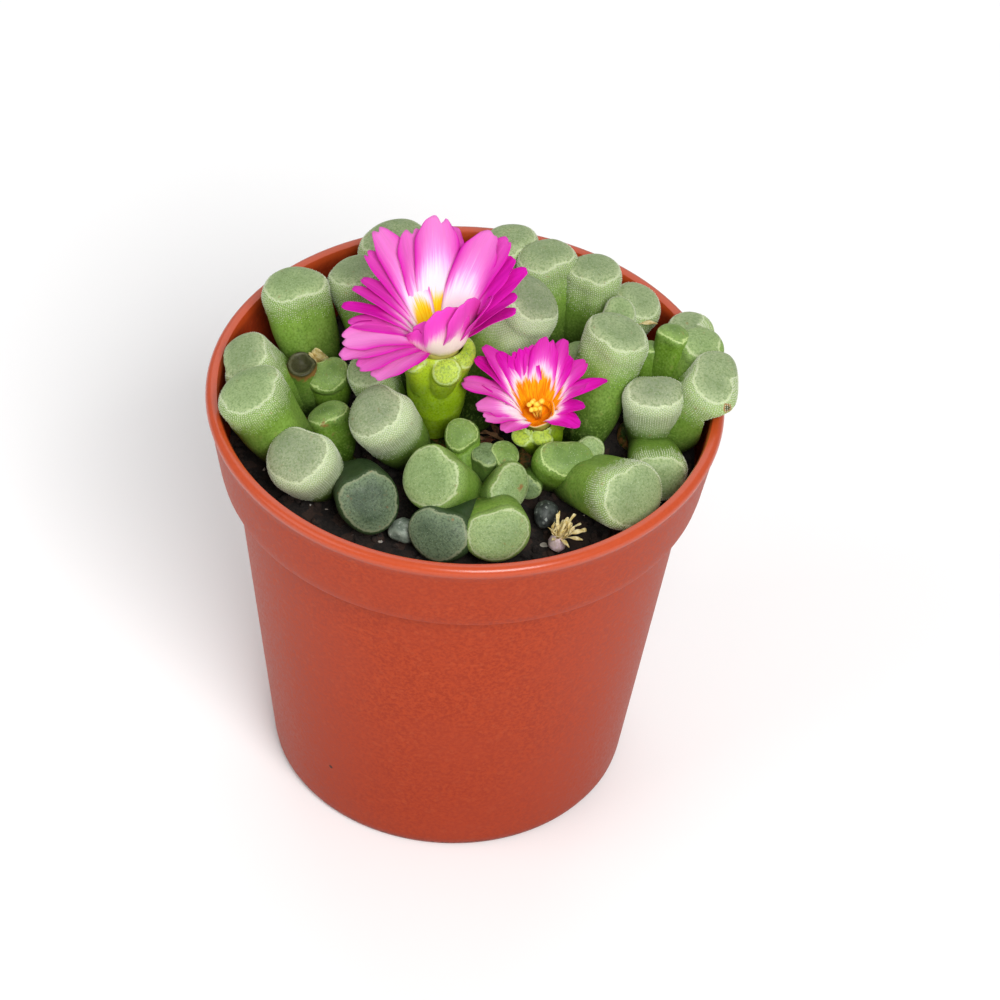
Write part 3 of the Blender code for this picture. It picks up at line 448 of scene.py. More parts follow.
def leaf_material(name, fresh_deep, fresh_pale, fresh_clear, fresh_murky):
    """Leaf skin: green body, frosted shoulder, pale window line and a grained window."""
    t = Look(name, 0.45, 0.12, 0.25)
    rim, rise, stain = (t.kept(key) for key in ("rim", "rise", "stain"))
    # Darkness, the tone's third part, is partly own colour, partly painted shade from neighbours.
    frost, fresh, dark_and_shaded = t.parts(t.kept("tone", "Color"))
    wide = t.noise(t.place, 260.0, 2.0)
    fine = t.noise(t.place, 1300.0)
    tiny = t.noise(t.place, 4200.0, 3.0, 0.6)
    edge = t.plus(rim, t.minus(t.plus(t.times(fine, 0.7), t.times(tiny, 0.5)), 0.6))
    inside = t.ranged(edge, -0.04, 0.10)
    line = t.ranged(t.calc("ABSOLUTE", t.plus(edge, 0.10)), 0.02, t.between(fresh, 0.27, 0.20),
                    1.0, 0.0)
    grains = t.grains(7000.0, 0.6)
    waves = [t.calc("COSINE", t.times(row, 2.0 * math.pi)) for row in t.uv_axes("rows")[:2]]
    lattice = t.ranged(t.times(*waves), -0.1, 0.7)

    whitened = t.ranged(frost, 0.7, 1.0)
    reach = t.minus(t.times(frost, -5.5), 0.7)
    near = t.ranged(edge, reach, t.times(reach, t.between(whitened, 0.25, 0.5)))
    powder = t.times(near, t.plus(t.times(t.calc("POWER", frost, 1.5), 0.80), 0.10))
    speckled = t.times(powder, t.ranged(lattice, 0.0, 1.0, 0.48, 1.0), clamp=True)
    deep = t.mixed(fresh, (36, 58, 10), fresh_deep)
    pale = t.mixed(fresh, (122, 157, 62), fresh_pale)
    body = t.layered(
        t.mixed(t.ranged(rise, 0.34, 0.95), deep, pale),
        (t.ranged(wide, 0.35, 0.70, 0.0, 0.5), t.mixed(rise, (44, 68, 14), (96, 132, 44))),
        (t.ranged(fine, 0.5, 0.8, 0.0, 0.3), (150, 172, 92)),
        (t.ranged(tiny, 0.5, 0.68, 0.0, 0.4), (140, 170, 84)),
        (t.ranged(tiny, 0.5, 0.34, 0.0, 0.35), (38, 62, 12)),
        # Darkness: partly the leaf's own colour, partly painted shade.
        (dark_and_shaded, (46, 66, 36)),
        (speckled, t.mixed(dark_and_shaded, t.mixed(whitened, (188, 200, 158), (206, 215, 182)),
                           (112, 130, 92))))

    # Darkness dims the window too, partly as painted shade.
    clear = t.layered(t.mixed(frost, (154, 180, 116), (162, 172, 136)),
                      (fresh, fresh_clear), (dark_and_shaded, (112, 130, 100)))
    murky = t.layered(t.mixed(frost, (132, 160, 96), (132, 144, 112)),
                      (fresh, fresh_murky), (dark_and_shaded, (72, 90, 66)))
    sparkle = t.times(t.ranged(grains["Shade"], 0.70, 0.95),
                      t.ranged(grains["Height"], 0.2, 0.8, 0.0, 0.45))
    window = t.layered(
        t.mixed(t.ranged(rim, 0.1, 1.6), clear, murky),
        (t.ranged(wide, 0.35, 0.65, 0.0, 0.5), clear),
        (t.ranged(tiny, 0.42, 0.68, 0.0, 0.6), t.mixed(dark_and_shaded, (96, 122, 64), (38, 54, 36))),
        (sparkle, t.mixed(dark_and_shaded, (206, 216, 180), (150, 168, 140))))
    drawn = t.times(t.between(dark_and_shaded, 0.60, 0.34), t.between(fresh, 1.0, 1.3))
    patchy = t.times(t.minus(fine, 0.5), 1.6)
    surface = t.layered(
        t.mixed(inside, body, window),
        (t.times(line, drawn), t.mixed(fresh, (208, 217, 178), (194, 214, 142))),
        (t.ranged(t.plus(stain, patchy), 0.22, 0.60, 0.0, 0.85),
         t.mixed(t.ranged(stain, 0.60, 0.85), (148, 96, 54), (40, 18, 12))),
        (t.specks(420.0, 0.012, 0.05), (60, 40, 20)))
    t.link(t.ranged(fine, 0.2, 0.8, 0.36, 0.56), t.shader["Roughness"])
    return t.end(surface, t.plus(t.times(inside, grains["Height"]), t.times(speckled, lattice)),
                 0.35, 0.00006)


def petal_material(name, yellow, deep, middle, base):
    """Petal skin: a yellow foot, a white middle and a magenta end, with fine streaks."""
    t = Look(name, 0.75, 0.04, 0.10)
    across, up = t.uv_axes("blade")[:2]
    back, seed, eye, white, pale = (t.kept(key) for key in ("back", "seed", "eye", "white", "pale"))
    stretched = t.add("ShaderNodeCombineXYZ", {
        "X": t.times(across, 4.2), "Y": t.times(up, 1.2), "Z": t.times(seed, 31.0)})["Vector"]
    streak = t.noise(stretched, 2.6, 4.0, 0.6)
    span = t.calc("ABSOLUTE", across)
    along = t.plus(t.plus(up, t.times(t.minus(streak, 0.5), 0.34)),
                   t.times(t.calc("POWER", span, 2.2), 0.26))
    outer = t.minus(along, white)
    inner = t.minus(1.0, t.calc("POWER", span, 2.4))
    colour = t.layered(
        t.mixed(t.ranged(outer, -0.12, 0.18), (248, 240, 238), middle),
        (t.ranged(outer, 0.02, 0.34), t.mixed(t.ranged(streak, 0.35, 0.65), deep, (212, 22, 172))),
        (t.times(pale, inner), (246, 190, 232)),
        (t.times(t.ranged(span, 0.80, 1.0), 0.35), deep),
        (t.ranged(t.minus(along, eye), -0.05, 0.09, 1.0, 0.0),
         t.mixed(t.ranged(streak, 0.4, 0.6), *yellow)),
        (t.times(back, 0.55), (246, 74, 200)),
        (t.times(back, t.ranged(outer, -0.14, 0.20, 0.95, 0.02)),
         t.mixed(t.ranged(up, -0.08, 0.30), base, (250, 232, 220))),
        (t.specks(300.0, 0.02, 0.05), (96, 24, 66)))
    return t.end(colour, streak, 0.3)


def pot_material():
    """Terracotta-coloured moulded plastic with a mottled grain, a few specks and a patchy darker
    foot.

    Painted shade darkens the body towards the bottom, and painted light lightens the lip.
    """
    t = Look("terracotta_plastic", 0.5, 0.0, 0.12)
    height = t.axes(t.place)["Z"]
    cloud = t.noise(t.place, 90.0)
    mottle = t.noise(t.place, 2600.0, 3.0, 0.7)
    lip = t.ranged(height, MM * (POT_HEIGHT - 1.6), MM * (POT_HEIGHT - 0.4))
    shifted = t.add("ShaderNodeVectorMath", {0: t.place, 1: (0.013, 0.007, 0.021)},
                    operation="ADD")["Vector"]
    # Mottled darkening over the lowest 1.6 mm of the foot.
    foot_darkening = t.times(t.ranged(height, 0.0, MM * 1.6, 0.75, 0.0), t.ranged(mottle, 0.45, 0.6))
    colour = t.layered(
        t.mixed(t.ranged(mottle, 0.34, 0.66), (146, 46, 18), (170, 62, 28)),
        (t.ranged(cloud, 0.35, 0.70, 0.0, 0.4), (160, 58, 32)),
        (t.ranged(t.grains(2300.0, 0.7)["Shade"], 0.86, 1.0, 0.0, 0.14), (190, 90, 52)),
        # Painted shade: the body darkens towards the bottom, where less light falls.
        (t.ranged(height, MM * 34.0, 0.0, 0.0, 0.35), (138, 42, 16)),
        # Painted light: the lip's top is lightened for the light that its rounded bead catches.
        (t.times(lip, 0.7), (194, 74, 30)),
        (t.specks(260.0, 0.03, 0.07), (238, 220, 200)),
        (t.calc("MAXIMUM", t.specks(330.0, 0.035, 0.08, shifted), foot_darkening), (62, 30, 20)))
    t.shader["Coat Roughness"].default_value = 0.24
    t.link(t.times(lip, 0.8), t.shader["Coat Weight"])
    t.link(t.ranged(mottle, 0.3, 0.7, 0.36, 0.52), t.shader["Roughness"])
    return t.end(colour, mottle, 0.12)


def earth_material(name, light):
    """Potting soil: near-black crumbs, some of them brown or pale."""
    t = Look(name, 0.92)
    fine = t.noise(t.place, 2600.0, 5.0, 0.7)
    return t.end(t.layered(
        t.mixed(t.ranged(fine, 0.3, 0.75), (13, 10, 8), (42, 33, 27)),
        (t.ranged(t.grains(900.0, 0.8)["Shade"], 0.55, 1.0, 0.0, 0.6), (66, 46, 35)),
        (t.specks(700.0, light, 0.32), (186, 178, 164))), fine, 0.8, 0.0002)


def stone_material(name, first, second):
    """Worn stone with fine grain and pale scuffs."""
    t = Look(name, 0.55)
    cloud = t.noise(t.place, 900.0, 5.0, 0.65)
    return t.end(t.layered(
        t.mixed(t.ranged(cloud, 0.35, 0.68), first, second),
        (t.ranged(t.grains(4200.0, 0.7)["Shade"], 0.88, 1.0, 0.0, 0.6), (168, 176, 166))),
        cloud, 0.5, 0.0002)


def plain_grained(name, first, second, roughness):
    """A simple two-tone skin with fine grain, for small dry or fleshy pieces."""
    t = Look(name, roughness, 0.1)
    cloud = t.noise(t.place, 1500.0, 4.0, 0.6)
    return t.end(t.mixed(t.ranged(cloud, 0.3, 0.7), first, second), cloud, 0.4)


def frost_material():
    """The pale papillae that stand in rows on the leaves' shoulders."""
    t = Look("papillae", 0.5, 0.1)
    return t.end(t.mixed(t.noise(t.place, 900.0), (218, 223, 198), (188, 197, 162)), None, 0.0)


def dry_material():
    """Dried petals, cream and straw-coloured, on a pale lilac base."""
    t = Look("dry_petals", 0.8, 0.1)
    cloud = t.noise(t.place, 1800.0, 4.0, 0.6)
    dry = t.kept("dry")
    base, straw, brown = (t.mixed(t.ranged(cloud, 0.35, 0.65), *pair) for pair in (
        ((224, 204, 212), (186, 168, 160)), ((236, 222, 168), (196, 170, 96)),
        ((132, 74, 44), (62, 30, 18))))
    colour = t.layered(base, (t.ranged(dry, 0.0, 1.0), straw), (t.ranged(dry, 1.0, 2.0), brown))
    return t.end(colour, cloud, 0.5)


# ---- Skins ----


def unit(vectors):
    """Vectors scaled to length one."""
    vectors = np.asarray(vectors, float)
    return vectors / np.maximum(np.linalg.norm(vectors, axis=-1, keepdims=True), 1e-9)


def circle(sides):
    """The angles of even steps round a circle."""
    return 2.0 * math.pi * np.arange(sides) / sides


def around(radius, height, *offsets):
    """Points of a profile, each at an offset from one place."""
    return [(radius + across, height + up) for across, up in offsets]


def wall(radius, height, run, rise, first, last, count):
    """Points of a profile spread over a part of a straight wall."""
    return [(radius + share * run, height + share * rise)
            for share in np.linspace(first, last, count)]


def tube_skin(rings, start, end, across=1.0, along=None, **values):
    """A closed skin over rings that run anticlockwise seen from the end, and what it shows.

    Across is the UV value at the end of the last side, or one for each side. Along is a UV value
    for each level and side.
    """
    levels, sides = rings.shape[:2]
    across = np.linspace(0.0, across, sides + 1) if np.isscalar(across) else across
    along = np.zeros((levels, sides + 1)) if along is None else along
    faces = []
    corners = []

    def add_face(indices, *spots):
        """Add a face whose corners lie at these sides and levels of the UV map."""
        faces.append(indices)
        corners.extend((across[side], along[level][side]) for side, level in spots)

    for level in range(levels - 1):
        for side in range(sides):
            low = level * sides + side
            low_next = level * sides + (side + 1) % sides
            add_face((low, low_next, low_next + sides, low + sides), (side, level),
                     (side + 1, level), (side + 1, level + 1), (side, level + 1))
    first = levels * sides
    last = (levels - 1) * sides
    for side in range(sides):
        following = (side + 1) % sides
        add_face((following, side, first), (side + 1, 0), (side, 0), (side, 0))
        add_face((last + side, last + following, first + 1), (side, -1), (side + 1, -1), (side, -1))
    return {"points": np.vstack((rings.reshape(-1, 3), start, end)), "faces": faces,
            "corners": corners, "values": values}


def for_each(value, total):
    """A value for each point: a list of them as it is, or one value or colour repeated."""
    value = np.asarray(value, float)
    if value.ndim and len(value) == total:
        return value
    return np.tile(value, (total, 1) if value.ndim else total)


def make_piece(name, skins, look, uv_name="rows"):
    """One mesh object from several skins. The first says which values are kept on the mesh."""
    faces = []
    offset = 0
    for skin in skins:
        faces += [tuple(index + offset for index in face) for face in skin["faces"]]
        offset += len(skin["points"])
    mesh = bpy.data.meshes.new(name)
    mesh.from_pydata((np.vstack([skin["points"] for skin in skins]) * MM).tolist(), [], faces)
    corners = [corner for skin in skins for corner in skin["corners"]]
    mesh.uv_layers.new(name=uv_name).data.foreach_set("uv", np.array(corners, np.float32).ravel())
    for key in skins[0]["values"]:
        keep_values(mesh, key, np.concatenate(
            [for_each(skin["values"][key], len(skin["points"])) for skin in skins]))
    mesh.materials.append(look)
    mesh.shade_smooth()
    return shown(name, mesh)


def shown(name, data):
    """An object in the scene."""
    made = bpy.data.objects.new(name, data)
    bpy.context.scene.collection.objects.link(made)
    return made


def read_places(mesh):
    """The places of a mesh's points, in metres."""
    places = np.zeros(len(mesh.vertices) * 3)
    mesh.vertices.foreach_get("co", places)
    return places.reshape(-1, 3)


def keep_values(mesh, key, values):
    """Keep one value or one colour for each point on the mesh."""
    kind = "FLOAT" if values.ndim == 1 else "FLOAT_COLOR"
    layer = mesh.attributes.new(key, kind, "POINT")
    layer.data.foreach_set("value" if kind == "FLOAT" else "color",
                           values.astype(np.float32).ravel())


def settle(piece, slot, *nodes):
    """Hang a finished piece on the frame."""
    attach(piece, "root")
    if nodes:
        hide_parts(*nodes)
    return piece


def roughened(rings, amount, scale, seed):
    """Rings with small uneven shifts, by a noise that is the same each run."""
    shift = Vector((seed * 7.3, seed * 3.1, seed * 5.7))
    moved = [noise.noise_vector(Vector(point) * scale + shift) for point in rings.reshape(-1, 3)]
    return rings + (np.array(moved) * amount).reshape(rings.shape)


def inner_wall_radius(heights):
    """The radius of the pot's inside at heights above the band's foot."""
    low = BAND_FOOT_RADIUS - WALL
    part = np.clip((heights - (POT_HEIGHT - BAND_HEIGHT)) / BAND_HEIGHT, 0.0, 1.0)
    return low + part * (RIM_RADIUS - LIP_WIDTH - low)


def clear_of_pot(points, spare):
    """Bend a skin in from the pot's wall, and over the lip above it."""
    limit = inner_wall_radius(points[..., 2]) - LEAF_CLEARANCE - spare
    limit = limit + LIP_SLOPE * np.maximum(points[..., 2] - POT_HEIGHT - LEAF_CLEARANCE, 0.0)
    radius = np.hypot(points[..., 0], points[..., 1])
    near = np.maximum(radius - WIDEST_REACH + REACH_SOFTNESS, 0.0)
    eased = WIDEST_REACH - REACH_SOFTNESS * np.exp(-near / REACH_SOFTNESS)
    limit = np.where(near > 0.0, np.minimum(limit, eased), limit)
    scale = np.minimum(limit / np.maximum(radius, 1e-6), 1.0)
    return np.stack((points[..., 0] * scale, points[..., 1] * scale, points[..., 2]), axis=-1)


def clear_of_axis(points, foot, direction, limit):
    """Push points out to a distance from a line."""
    offset = points - foot
    along = (offset @ direction)[..., None] * direction
    across = offset - along
    distance = np.linalg.norm(across, axis=-1, keepdims=True)
    limit = np.asarray(limit, float)
    limit = limit[..., None] if limit.ndim else limit
    return points + unit(across) * np.maximum(limit - distance, 0.0)


def flower_axis(flower):
    """The foot and the throat of a flower, the way from one to the other, and how far it is."""
    foot, throat = (np.array(flower[key]) + SOIL_TOP * UP for key in ("foot", "throat"))
    return foot, throat, unit(throat - foot), np.linalg.norm(throat - foot)


def clear_of_stalk(points, flower, spare):
    """Bend a skin away from the flower stalk that stands in its rosette."""
    foot, _, direction, length = flower_axis(flower)
    along = (points - foot) @ direction
    swell = np.minimum(STALK_FOOT_SHARE + np.maximum(along, 0.0) / length, 1.0)
    limit = np.where(along < -CROWN_RISE, 0.0,
                     flower["calyx_radius"] * swell + STALK_CLEARANCE + spare)
    return clear_of_axis(points, foot, direction, limit)


def leaf_skin(start, foot, tip, outward, width, depth, window, look, shift, bend, seed, sides,
              hollow=0.0):
    """A club-shaped leaf with a rounded tip that bears a window, and what its skin shows."""
    tip_depth = min(TIP_DEPTH, TIP_SHARE * width)
    tip = tip + TIP_LIFT * width * window
    neck = tip - tip_depth * window
    part = np.linspace(0.0, 1.0, BODY_RINGS)[:, None]
    centres = (1 - part) ** 2 * start + 2 * part * (1 - part) * foot + part ** 2 * neck
    ahead = unit(2 * (1 - part) * (foot - start) + 2 * part * (neck - foot))
    facing = unit(ahead * (1 - part ** 2) + window * part ** 2)
    turns = np.linspace(0.0, 0.5 * math.pi, TIP_RINGS + 2)[1:-1]
    raised = tip_depth * np.sin(turns) ** (2.0 / TIP_SQUARENESS) - hollow * np.sin(turns) ** 6
    centres = np.vstack((centres, neck + raised[:, None] * window))
    sizes = np.concatenate((np.polyval(np.polyfit(*LEAF_SIZES, 3), part[:, 0]),
                            np.cos(turns) ** (2.0 / TIP_SQUARENESS)))
    facing = np.vstack((facing, np.repeat(window[None], TIP_RINGS, axis=0)))
    side = unit(np.cross(outward, facing))
    away = unit(np.cross(facing, side))

    angles = circle(sides)
    across = np.cos(angles)
    out = np.sin(angles)
    dented = FACE_DEPTH * (1.0 - DENT_DEPTH * np.exp(-((across / DENT_WIDTH) ** 2)))
    out = out * np.where(out > 0.0, BACK_SWELL, dented)
    sizes = sizes[:, None, None]
    rings = (centres[:, None] + 0.5 * width * sizes * across[None, :, None] * side[:, None]
             + 0.5 * depth * sizes * out[None, :, None] * away[:, None])
    rings = bend(roughened(rings, 0.12, 0.4, seed))
    apex = rings[-1].mean(axis=0) + 0.01 * window

    steps = np.linalg.norm(np.diff(rings, axis=0), axis=-1)
    reach = np.vstack((np.cumsum(steps[::-1], axis=0)[::-1], np.zeros(sides)))
    reach = reach + np.linalg.norm(rings[-1] - apex, axis=-1)
    spokes = rings[BODY_RINGS - 1] - centres[BODY_RINGS - 1]
    toward = unit(spokes)
    border = np.linalg.norm(spokes, axis=-1) * (WINDOW_REACH + toward[:, 0] * shift[0]
                                                + toward[:, 1] * shift[1])
    wave = 0.016 * width
    border = border + wave * (0.7 * np.sin(3.0 * angles + seed)
                              + 0.5 * np.sin(5.0 * angles + 2.1 * seed)
                              + 0.25 * np.sin(11.0 * angles + 3.0 * seed))
    rim = border[None] - reach
    rise = np.repeat(np.concatenate((part[:, 0], np.ones(TIP_RINGS))), sides)
    count = max(int(round(math.pi * 0.5 * (width + depth) / ROW_STEP)), 8)
    skin = tube_skin(rings, rings[0].mean(axis=0), apex, count,
                     np.hstack((reach, reach[:, :1])) / ROW_STEP,
                     rim=np.concatenate((rim.ravel(), (rim[0].min(), border.mean()))),
                     rise=np.concatenate((rise, (0.0, 1.0))), tone=(*look, 1.0))
    stain = np.clip(1.1 + 0.6 * skin["values"]["rim"], 0.0, 1.0) * min(hollow, 1.0)
    for place, size, strength in STAINS:
        away = np.linalg.norm(skin["points"] - np.array(place) - SOIL_TOP * UP, axis=1)
        stain = np.maximum(stain, strength * np.clip(1.5 - away / size, 0.0, 1.0))
    skin["values"]["stain"] = stain
    return skin, rings, reach, border, centres


def crown_skin(centre, radius):
    """The short stout stem that a rosette's leaves grow from."""
    sides = 32
    angles = circle(sides)
    profile = ((-CROWN_DEPTH, 0.9), (-CROWN_DEPTH + 0.6, 1.0), (0.5, 1.0), (1.0, 0.85),
               (0.8 * CROWN_RISE, 0.66))
    rings = np.array([np.stack((centre[0] + size * radius * np.cos(angles),
                                centre[1] + size * radius * np.sin(angles),
                                np.full(sides, SOIL_TOP + height)), axis=-1)
                      for height, size in profile])
    low, high = SOIL_TOP - CROWN_DEPTH, SOIL_TOP + CROWN_RISE
    return tube_skin(rings, (*centre, low), (*centre, high), 40.0, rim=-9.0, rise=0.1,
                     tone=(0.0, 0.3, 0.2, 1.0), stain=0.35)


def read_line(depth, depths, line):
    """The place on a line at a depth."""
    return np.array([np.interp(depth, depths, line[:, axis]) for axis in range(3)])


def papilla_points(rings, reach, border, centres, frost, seed):
    """Places, facings and sizes of the papillae that stand in rows below a window's border."""
    draw = np.random.default_rng(seed)
    sides = rings.shape[1]
    girth = np.linalg.norm(np.diff(rings[BODY_RINGS - 1], axis=0), axis=-1).sum()
    count = int(girth / PAPILLA_GAP)
    band = 1.2 + 4.6 * frost
    places, facings, sizes = [], [], []
    for row in range(count):
        turn = (row + draw.uniform(-0.12, 0.12)) / count * sides
        low = int(math.floor(turn)) % sides
        high = (low + 1) % sides
        share = turn - math.floor(turn)
        line = (1 - share) * rings[:, low] + share * rings[:, high]
        depths = (1 - share) * reach[:, low] + share * reach[:, high]
        edge = (1 - share) * border[low] + share * border[high]
        order = np.argsort(depths)
        steps = np.arange(int(band / PAPILLA_STEP)) + 0.5 * (row % 2)
        wanted = edge + 0.10 + PAPILLA_STEP * steps
        wanted = wanted + draw.uniform(-0.06, 0.06, len(wanted))
        fade = 1.0 - (wanted - edge) / band
        kept = (draw.uniform(0.0, 1.0, len(wanted)) < 0.35 + fade) & (wanted < depths.max() - 1.0)
        for depth, strength in zip(wanted[kept], fade[kept]):
            place = read_line(depth, depths[order], line[order])
            ahead = unit(read_line(depth - 0.2, depths[order], line[order]) - place)
            normal = place - read_line(depth, depths[order], centres[order])
            normal = unit(normal - (normal @ ahead) * ahead)
            places.append(place)
            facings.append(unit(normal + 0.30 * ahead))
            sizes.append(0.55 + 0.6 * strength + draw.uniform(-0.1, 0.1))
    return places, facings, sizes


def rosette_pieces(name, leaf_look, frost_look):
    """The leaves of one rosette, and the papillae on them."""
    centre, radius, leaves = ROSETTES[name]
    flower = {"big_flower": BIG_FLOWER, "small_flower": SMALL_FLOWER}.get(name)
    middle = np.array((*centre, SOIL_TOP))
    skins = [crown_skin(centre, radius)]
    papillae = [], [], []
    for number, (foot, tip, width, depth, tilt, look, shift, turned) in enumerate(leaves):
        spare = CLEARANCE_STEP * number

        def bend(points):
            """Keep a leaf's skin off the pot, off the stalk and, past the crown, off the soil."""
            points = clear_of_pot(points, spare)
            if flower is not None:
                points = clear_of_stalk(points, flower, spare)
            away = np.hypot(points[..., 0] - middle[0], points[..., 1] - middle[1])
            sunk = SINK_SLOPE * np.maximum(radius - away, 0.0)
            points[..., 2] = np.maximum(points[..., 2], SOIL_TOP + SOIL_CLEARANCE + spare - sunk)
            return points

        foot_point = np.array((*foot, SOIL_TOP + FOOT_HEIGHT))
        tip_point = np.array((tip[0], tip[1], SOIL_TOP + tip[2]))
        share = ROOT_SHARE if flower is None else FLOWERED_ROOT_SHARE
        start = middle + share * (foot_point - middle)
        start[2] = SOIL_TOP + ROOT_HEIGHT
        outward = unit((tip[0] - centre[0], tip[1] - centre[1], 0.0))
        seed = len(name) * 13.7 + number * 2.9
        window = unit(tilt * unit(tip_point - foot_point) + (1.0 - tilt) * UP + turned * FRONT)
        sides = LEAF_SIDES if width > SLIM_WIDTH else SLIM_SIDES
        hollow = HOLLOW_DEPTH if look == "withered" else 0.0
        skin, *shape = leaf_skin(start, foot_point, tip_point, outward, width, depth, window,
                                 LOOKS[look], shift, bend, seed, sides, hollow)
        skins.append(skin)
        frost = LOOKS[look][0]
        if frost > LEAST_FROST:
            for kept, found in zip(papillae, papilla_points(*shape, frost, int(seed * 10))):
                kept += found
    settle(make_piece("leaves_" + name, skins, leaf_look), "leaf_green", "rosette_" + name)
    if papillae[0]:
        settle(scattered("papillae_" + name, *papillae, frost_look, PAPILLA_TREE,
                         {"Radius": 0.085 * MM, "Height": 0.13 * MM, "Sides": 5}), "leaf_green")


# ---- Geometry nodes ----


def point_tree(name, *inputs):
    """A tree of geometry nodes that works on points, with its settings and its result."""
    return new_group(name, "GeometryNodeTree", (("Geometry", "Geometry", None), *inputs,
                                                ("Finish", "Material", None)),
                     (("Geometry", "Geometry"),))


def named(t, kind, name):
    """A named attribute in geometry nodes."""
    return t.add("GeometryNodeInputNamedAttribute", {"Name": name}, data_type=kind)["Attribute"]


def on_points(t, points, item, size):
    """Real geometry of an item on every point, turned to the point's facing and scaled."""
    facing = named(t, "FLOAT_VECTOR", "facing")
    turn = t.add("FunctionNodeAlignRotationToVector", {"Vector": facing}, axis="Z")
    placed = t.add("GeometryNodeInstanceOnPoints", {
        "Points": points, "Instance": item, "Rotation": turn["Rotation"], "Scale": size})
    return t.add("GeometryNodeRealizeInstances", {"Geometry": placed["Instances"]})["Geometry"]


def finished(t, geometry, given, result):
    """The tree, ended with its material."""
    t.link(t.add("GeometryNodeSetMaterial", {
        "Geometry": geometry, "Material": given["Finish"]})["Geometry"], result["Geometry"])
    return t.tree


def cone_tree():
    """A blunt cone on every point."""
    t, given, result = point_tree("cones_on_points", ("Radius", "Float", 0.1),
                                  ("Height", "Float", 0.1), ("Sides", "Int", 5))
    cone = t.add("GeometryNodeMeshCone", {
        "Vertices": given["Sides"], "Radius Top": 0.0, "Radius Bottom": given["Radius"],
        "Depth": given["Height"]}, fill_type="NGON")
    lowered = t.add("ShaderNodeCombineXYZ", {"Z": t.times(given["Height"], -0.3)})
    moved = t.add("GeometryNodeTransform", {"Geometry": cone["Mesh"],
                                            "Translation": lowered["Vector"]})
    real = on_points(t, given["Geometry"], moved["Geometry"], named(t, "FLOAT", "size"))
    smooth = t.add("GeometryNodeSetShadeSmooth", {"Geometry": real})
    return finished(t, smooth["Geometry"], given, result)


def crumb_tree():
    """A lump on every point, roughened."""
    t, given, result = point_tree("lumps_on_points", ("Radius", "Float", 0.4),
                                  ("Roughness", "Float", 0.3), ("Grain", "Float", 1500.0))

    def scaled(vector, scale):
        """A vector times a number."""
        return t.add("ShaderNodeVectorMath", {0: vector, "Scale": scale},
                     operation="SCALE")["Vector"]

    ball = t.add("GeometryNodeMeshIcoSphere", {"Radius": given["Radius"], "Subdivisions": 2})
    stretch = t.add("ShaderNodeCombineXYZ", {"X": 1.0, "Y": 0.8, "Z": 0.6})["Vector"]
    real = on_points(t, given["Geometry"], ball["Mesh"], scaled(stretch, named(t, "FLOAT", "size")))
    bumps = t.add("ShaderNodeTexNoise", {
        "Vector": t.add("GeometryNodeInputPosition")["Position"], "Scale": given["Grain"]})
    centred = t.add("ShaderNodeVectorMath", {0: bumps["Color"], 1: (0.5, 0.5, 0.5)},
                    operation="SUBTRACT")["Vector"]
    moved = t.add("GeometryNodeSetPosition", {
        "Geometry": real, "Offset": scaled(centred, t.times(given["Roughness"], given["Radius"]))})
    return finished(t, moved["Geometry"], given, result)


def scattered(name, places, facings, sizes, finish, tree, settings):
    """Points with facings and sizes, turned into a plain mesh by a tree of geometry nodes."""
    mesh = bpy.data.meshes.new(name)
    mesh.from_pydata((np.array(places) * MM).tolist(), [], [])
    for key, kind, field, values in (("facing", "FLOAT_VECTOR", "vector", facings),
                                     ("size", "FLOAT", "value", sizes)):
        mesh.attributes.new(key, kind, "POINT").data.foreach_set(
            field, np.array(values, np.float32).ravel())
    holder = shown(name, mesh)
    modifier = holder.modifiers.new("scatter", "NODES")
    modifier.node_group = tree
    identifiers = {item.name: item.identifier for item in tree.interface.items_tree
                   if item.in_out == "INPUT"}
    for key, value in {**settings, "Finish": finish}.items():
        modifier[identifiers[key]] = value
    return made_plain(holder)


def made_plain(holder):
    """Turn an object with modifiers into one with a plain mesh."""
    bpy.context.view_layer.update()
    evaluated = holder.evaluated_get(bpy.context.evaluated_depsgraph_get())
    mesh = bpy.data.meshes.new_from_object(evaluated)
    for modifier in list(holder.modifiers):
        holder.modifiers.remove(modifier)
    old = holder.data
    holder.data = mesh
    mesh.name = holder.name
    bpy.data.meshes.remove(old)
    return holder


PAPILLA_TREE = cone_tree()
CRUMB_TREE = crumb_tree()


# ---- Flowers ----


def way(azimuth, elevation=0.0):
    """The direction at an azimuth and an elevation."""
    return np.array((math.cos(elevation) * math.cos(azimuth),
                     math.cos(elevation) * math.sin(azimuth), math.sin(elevation)))


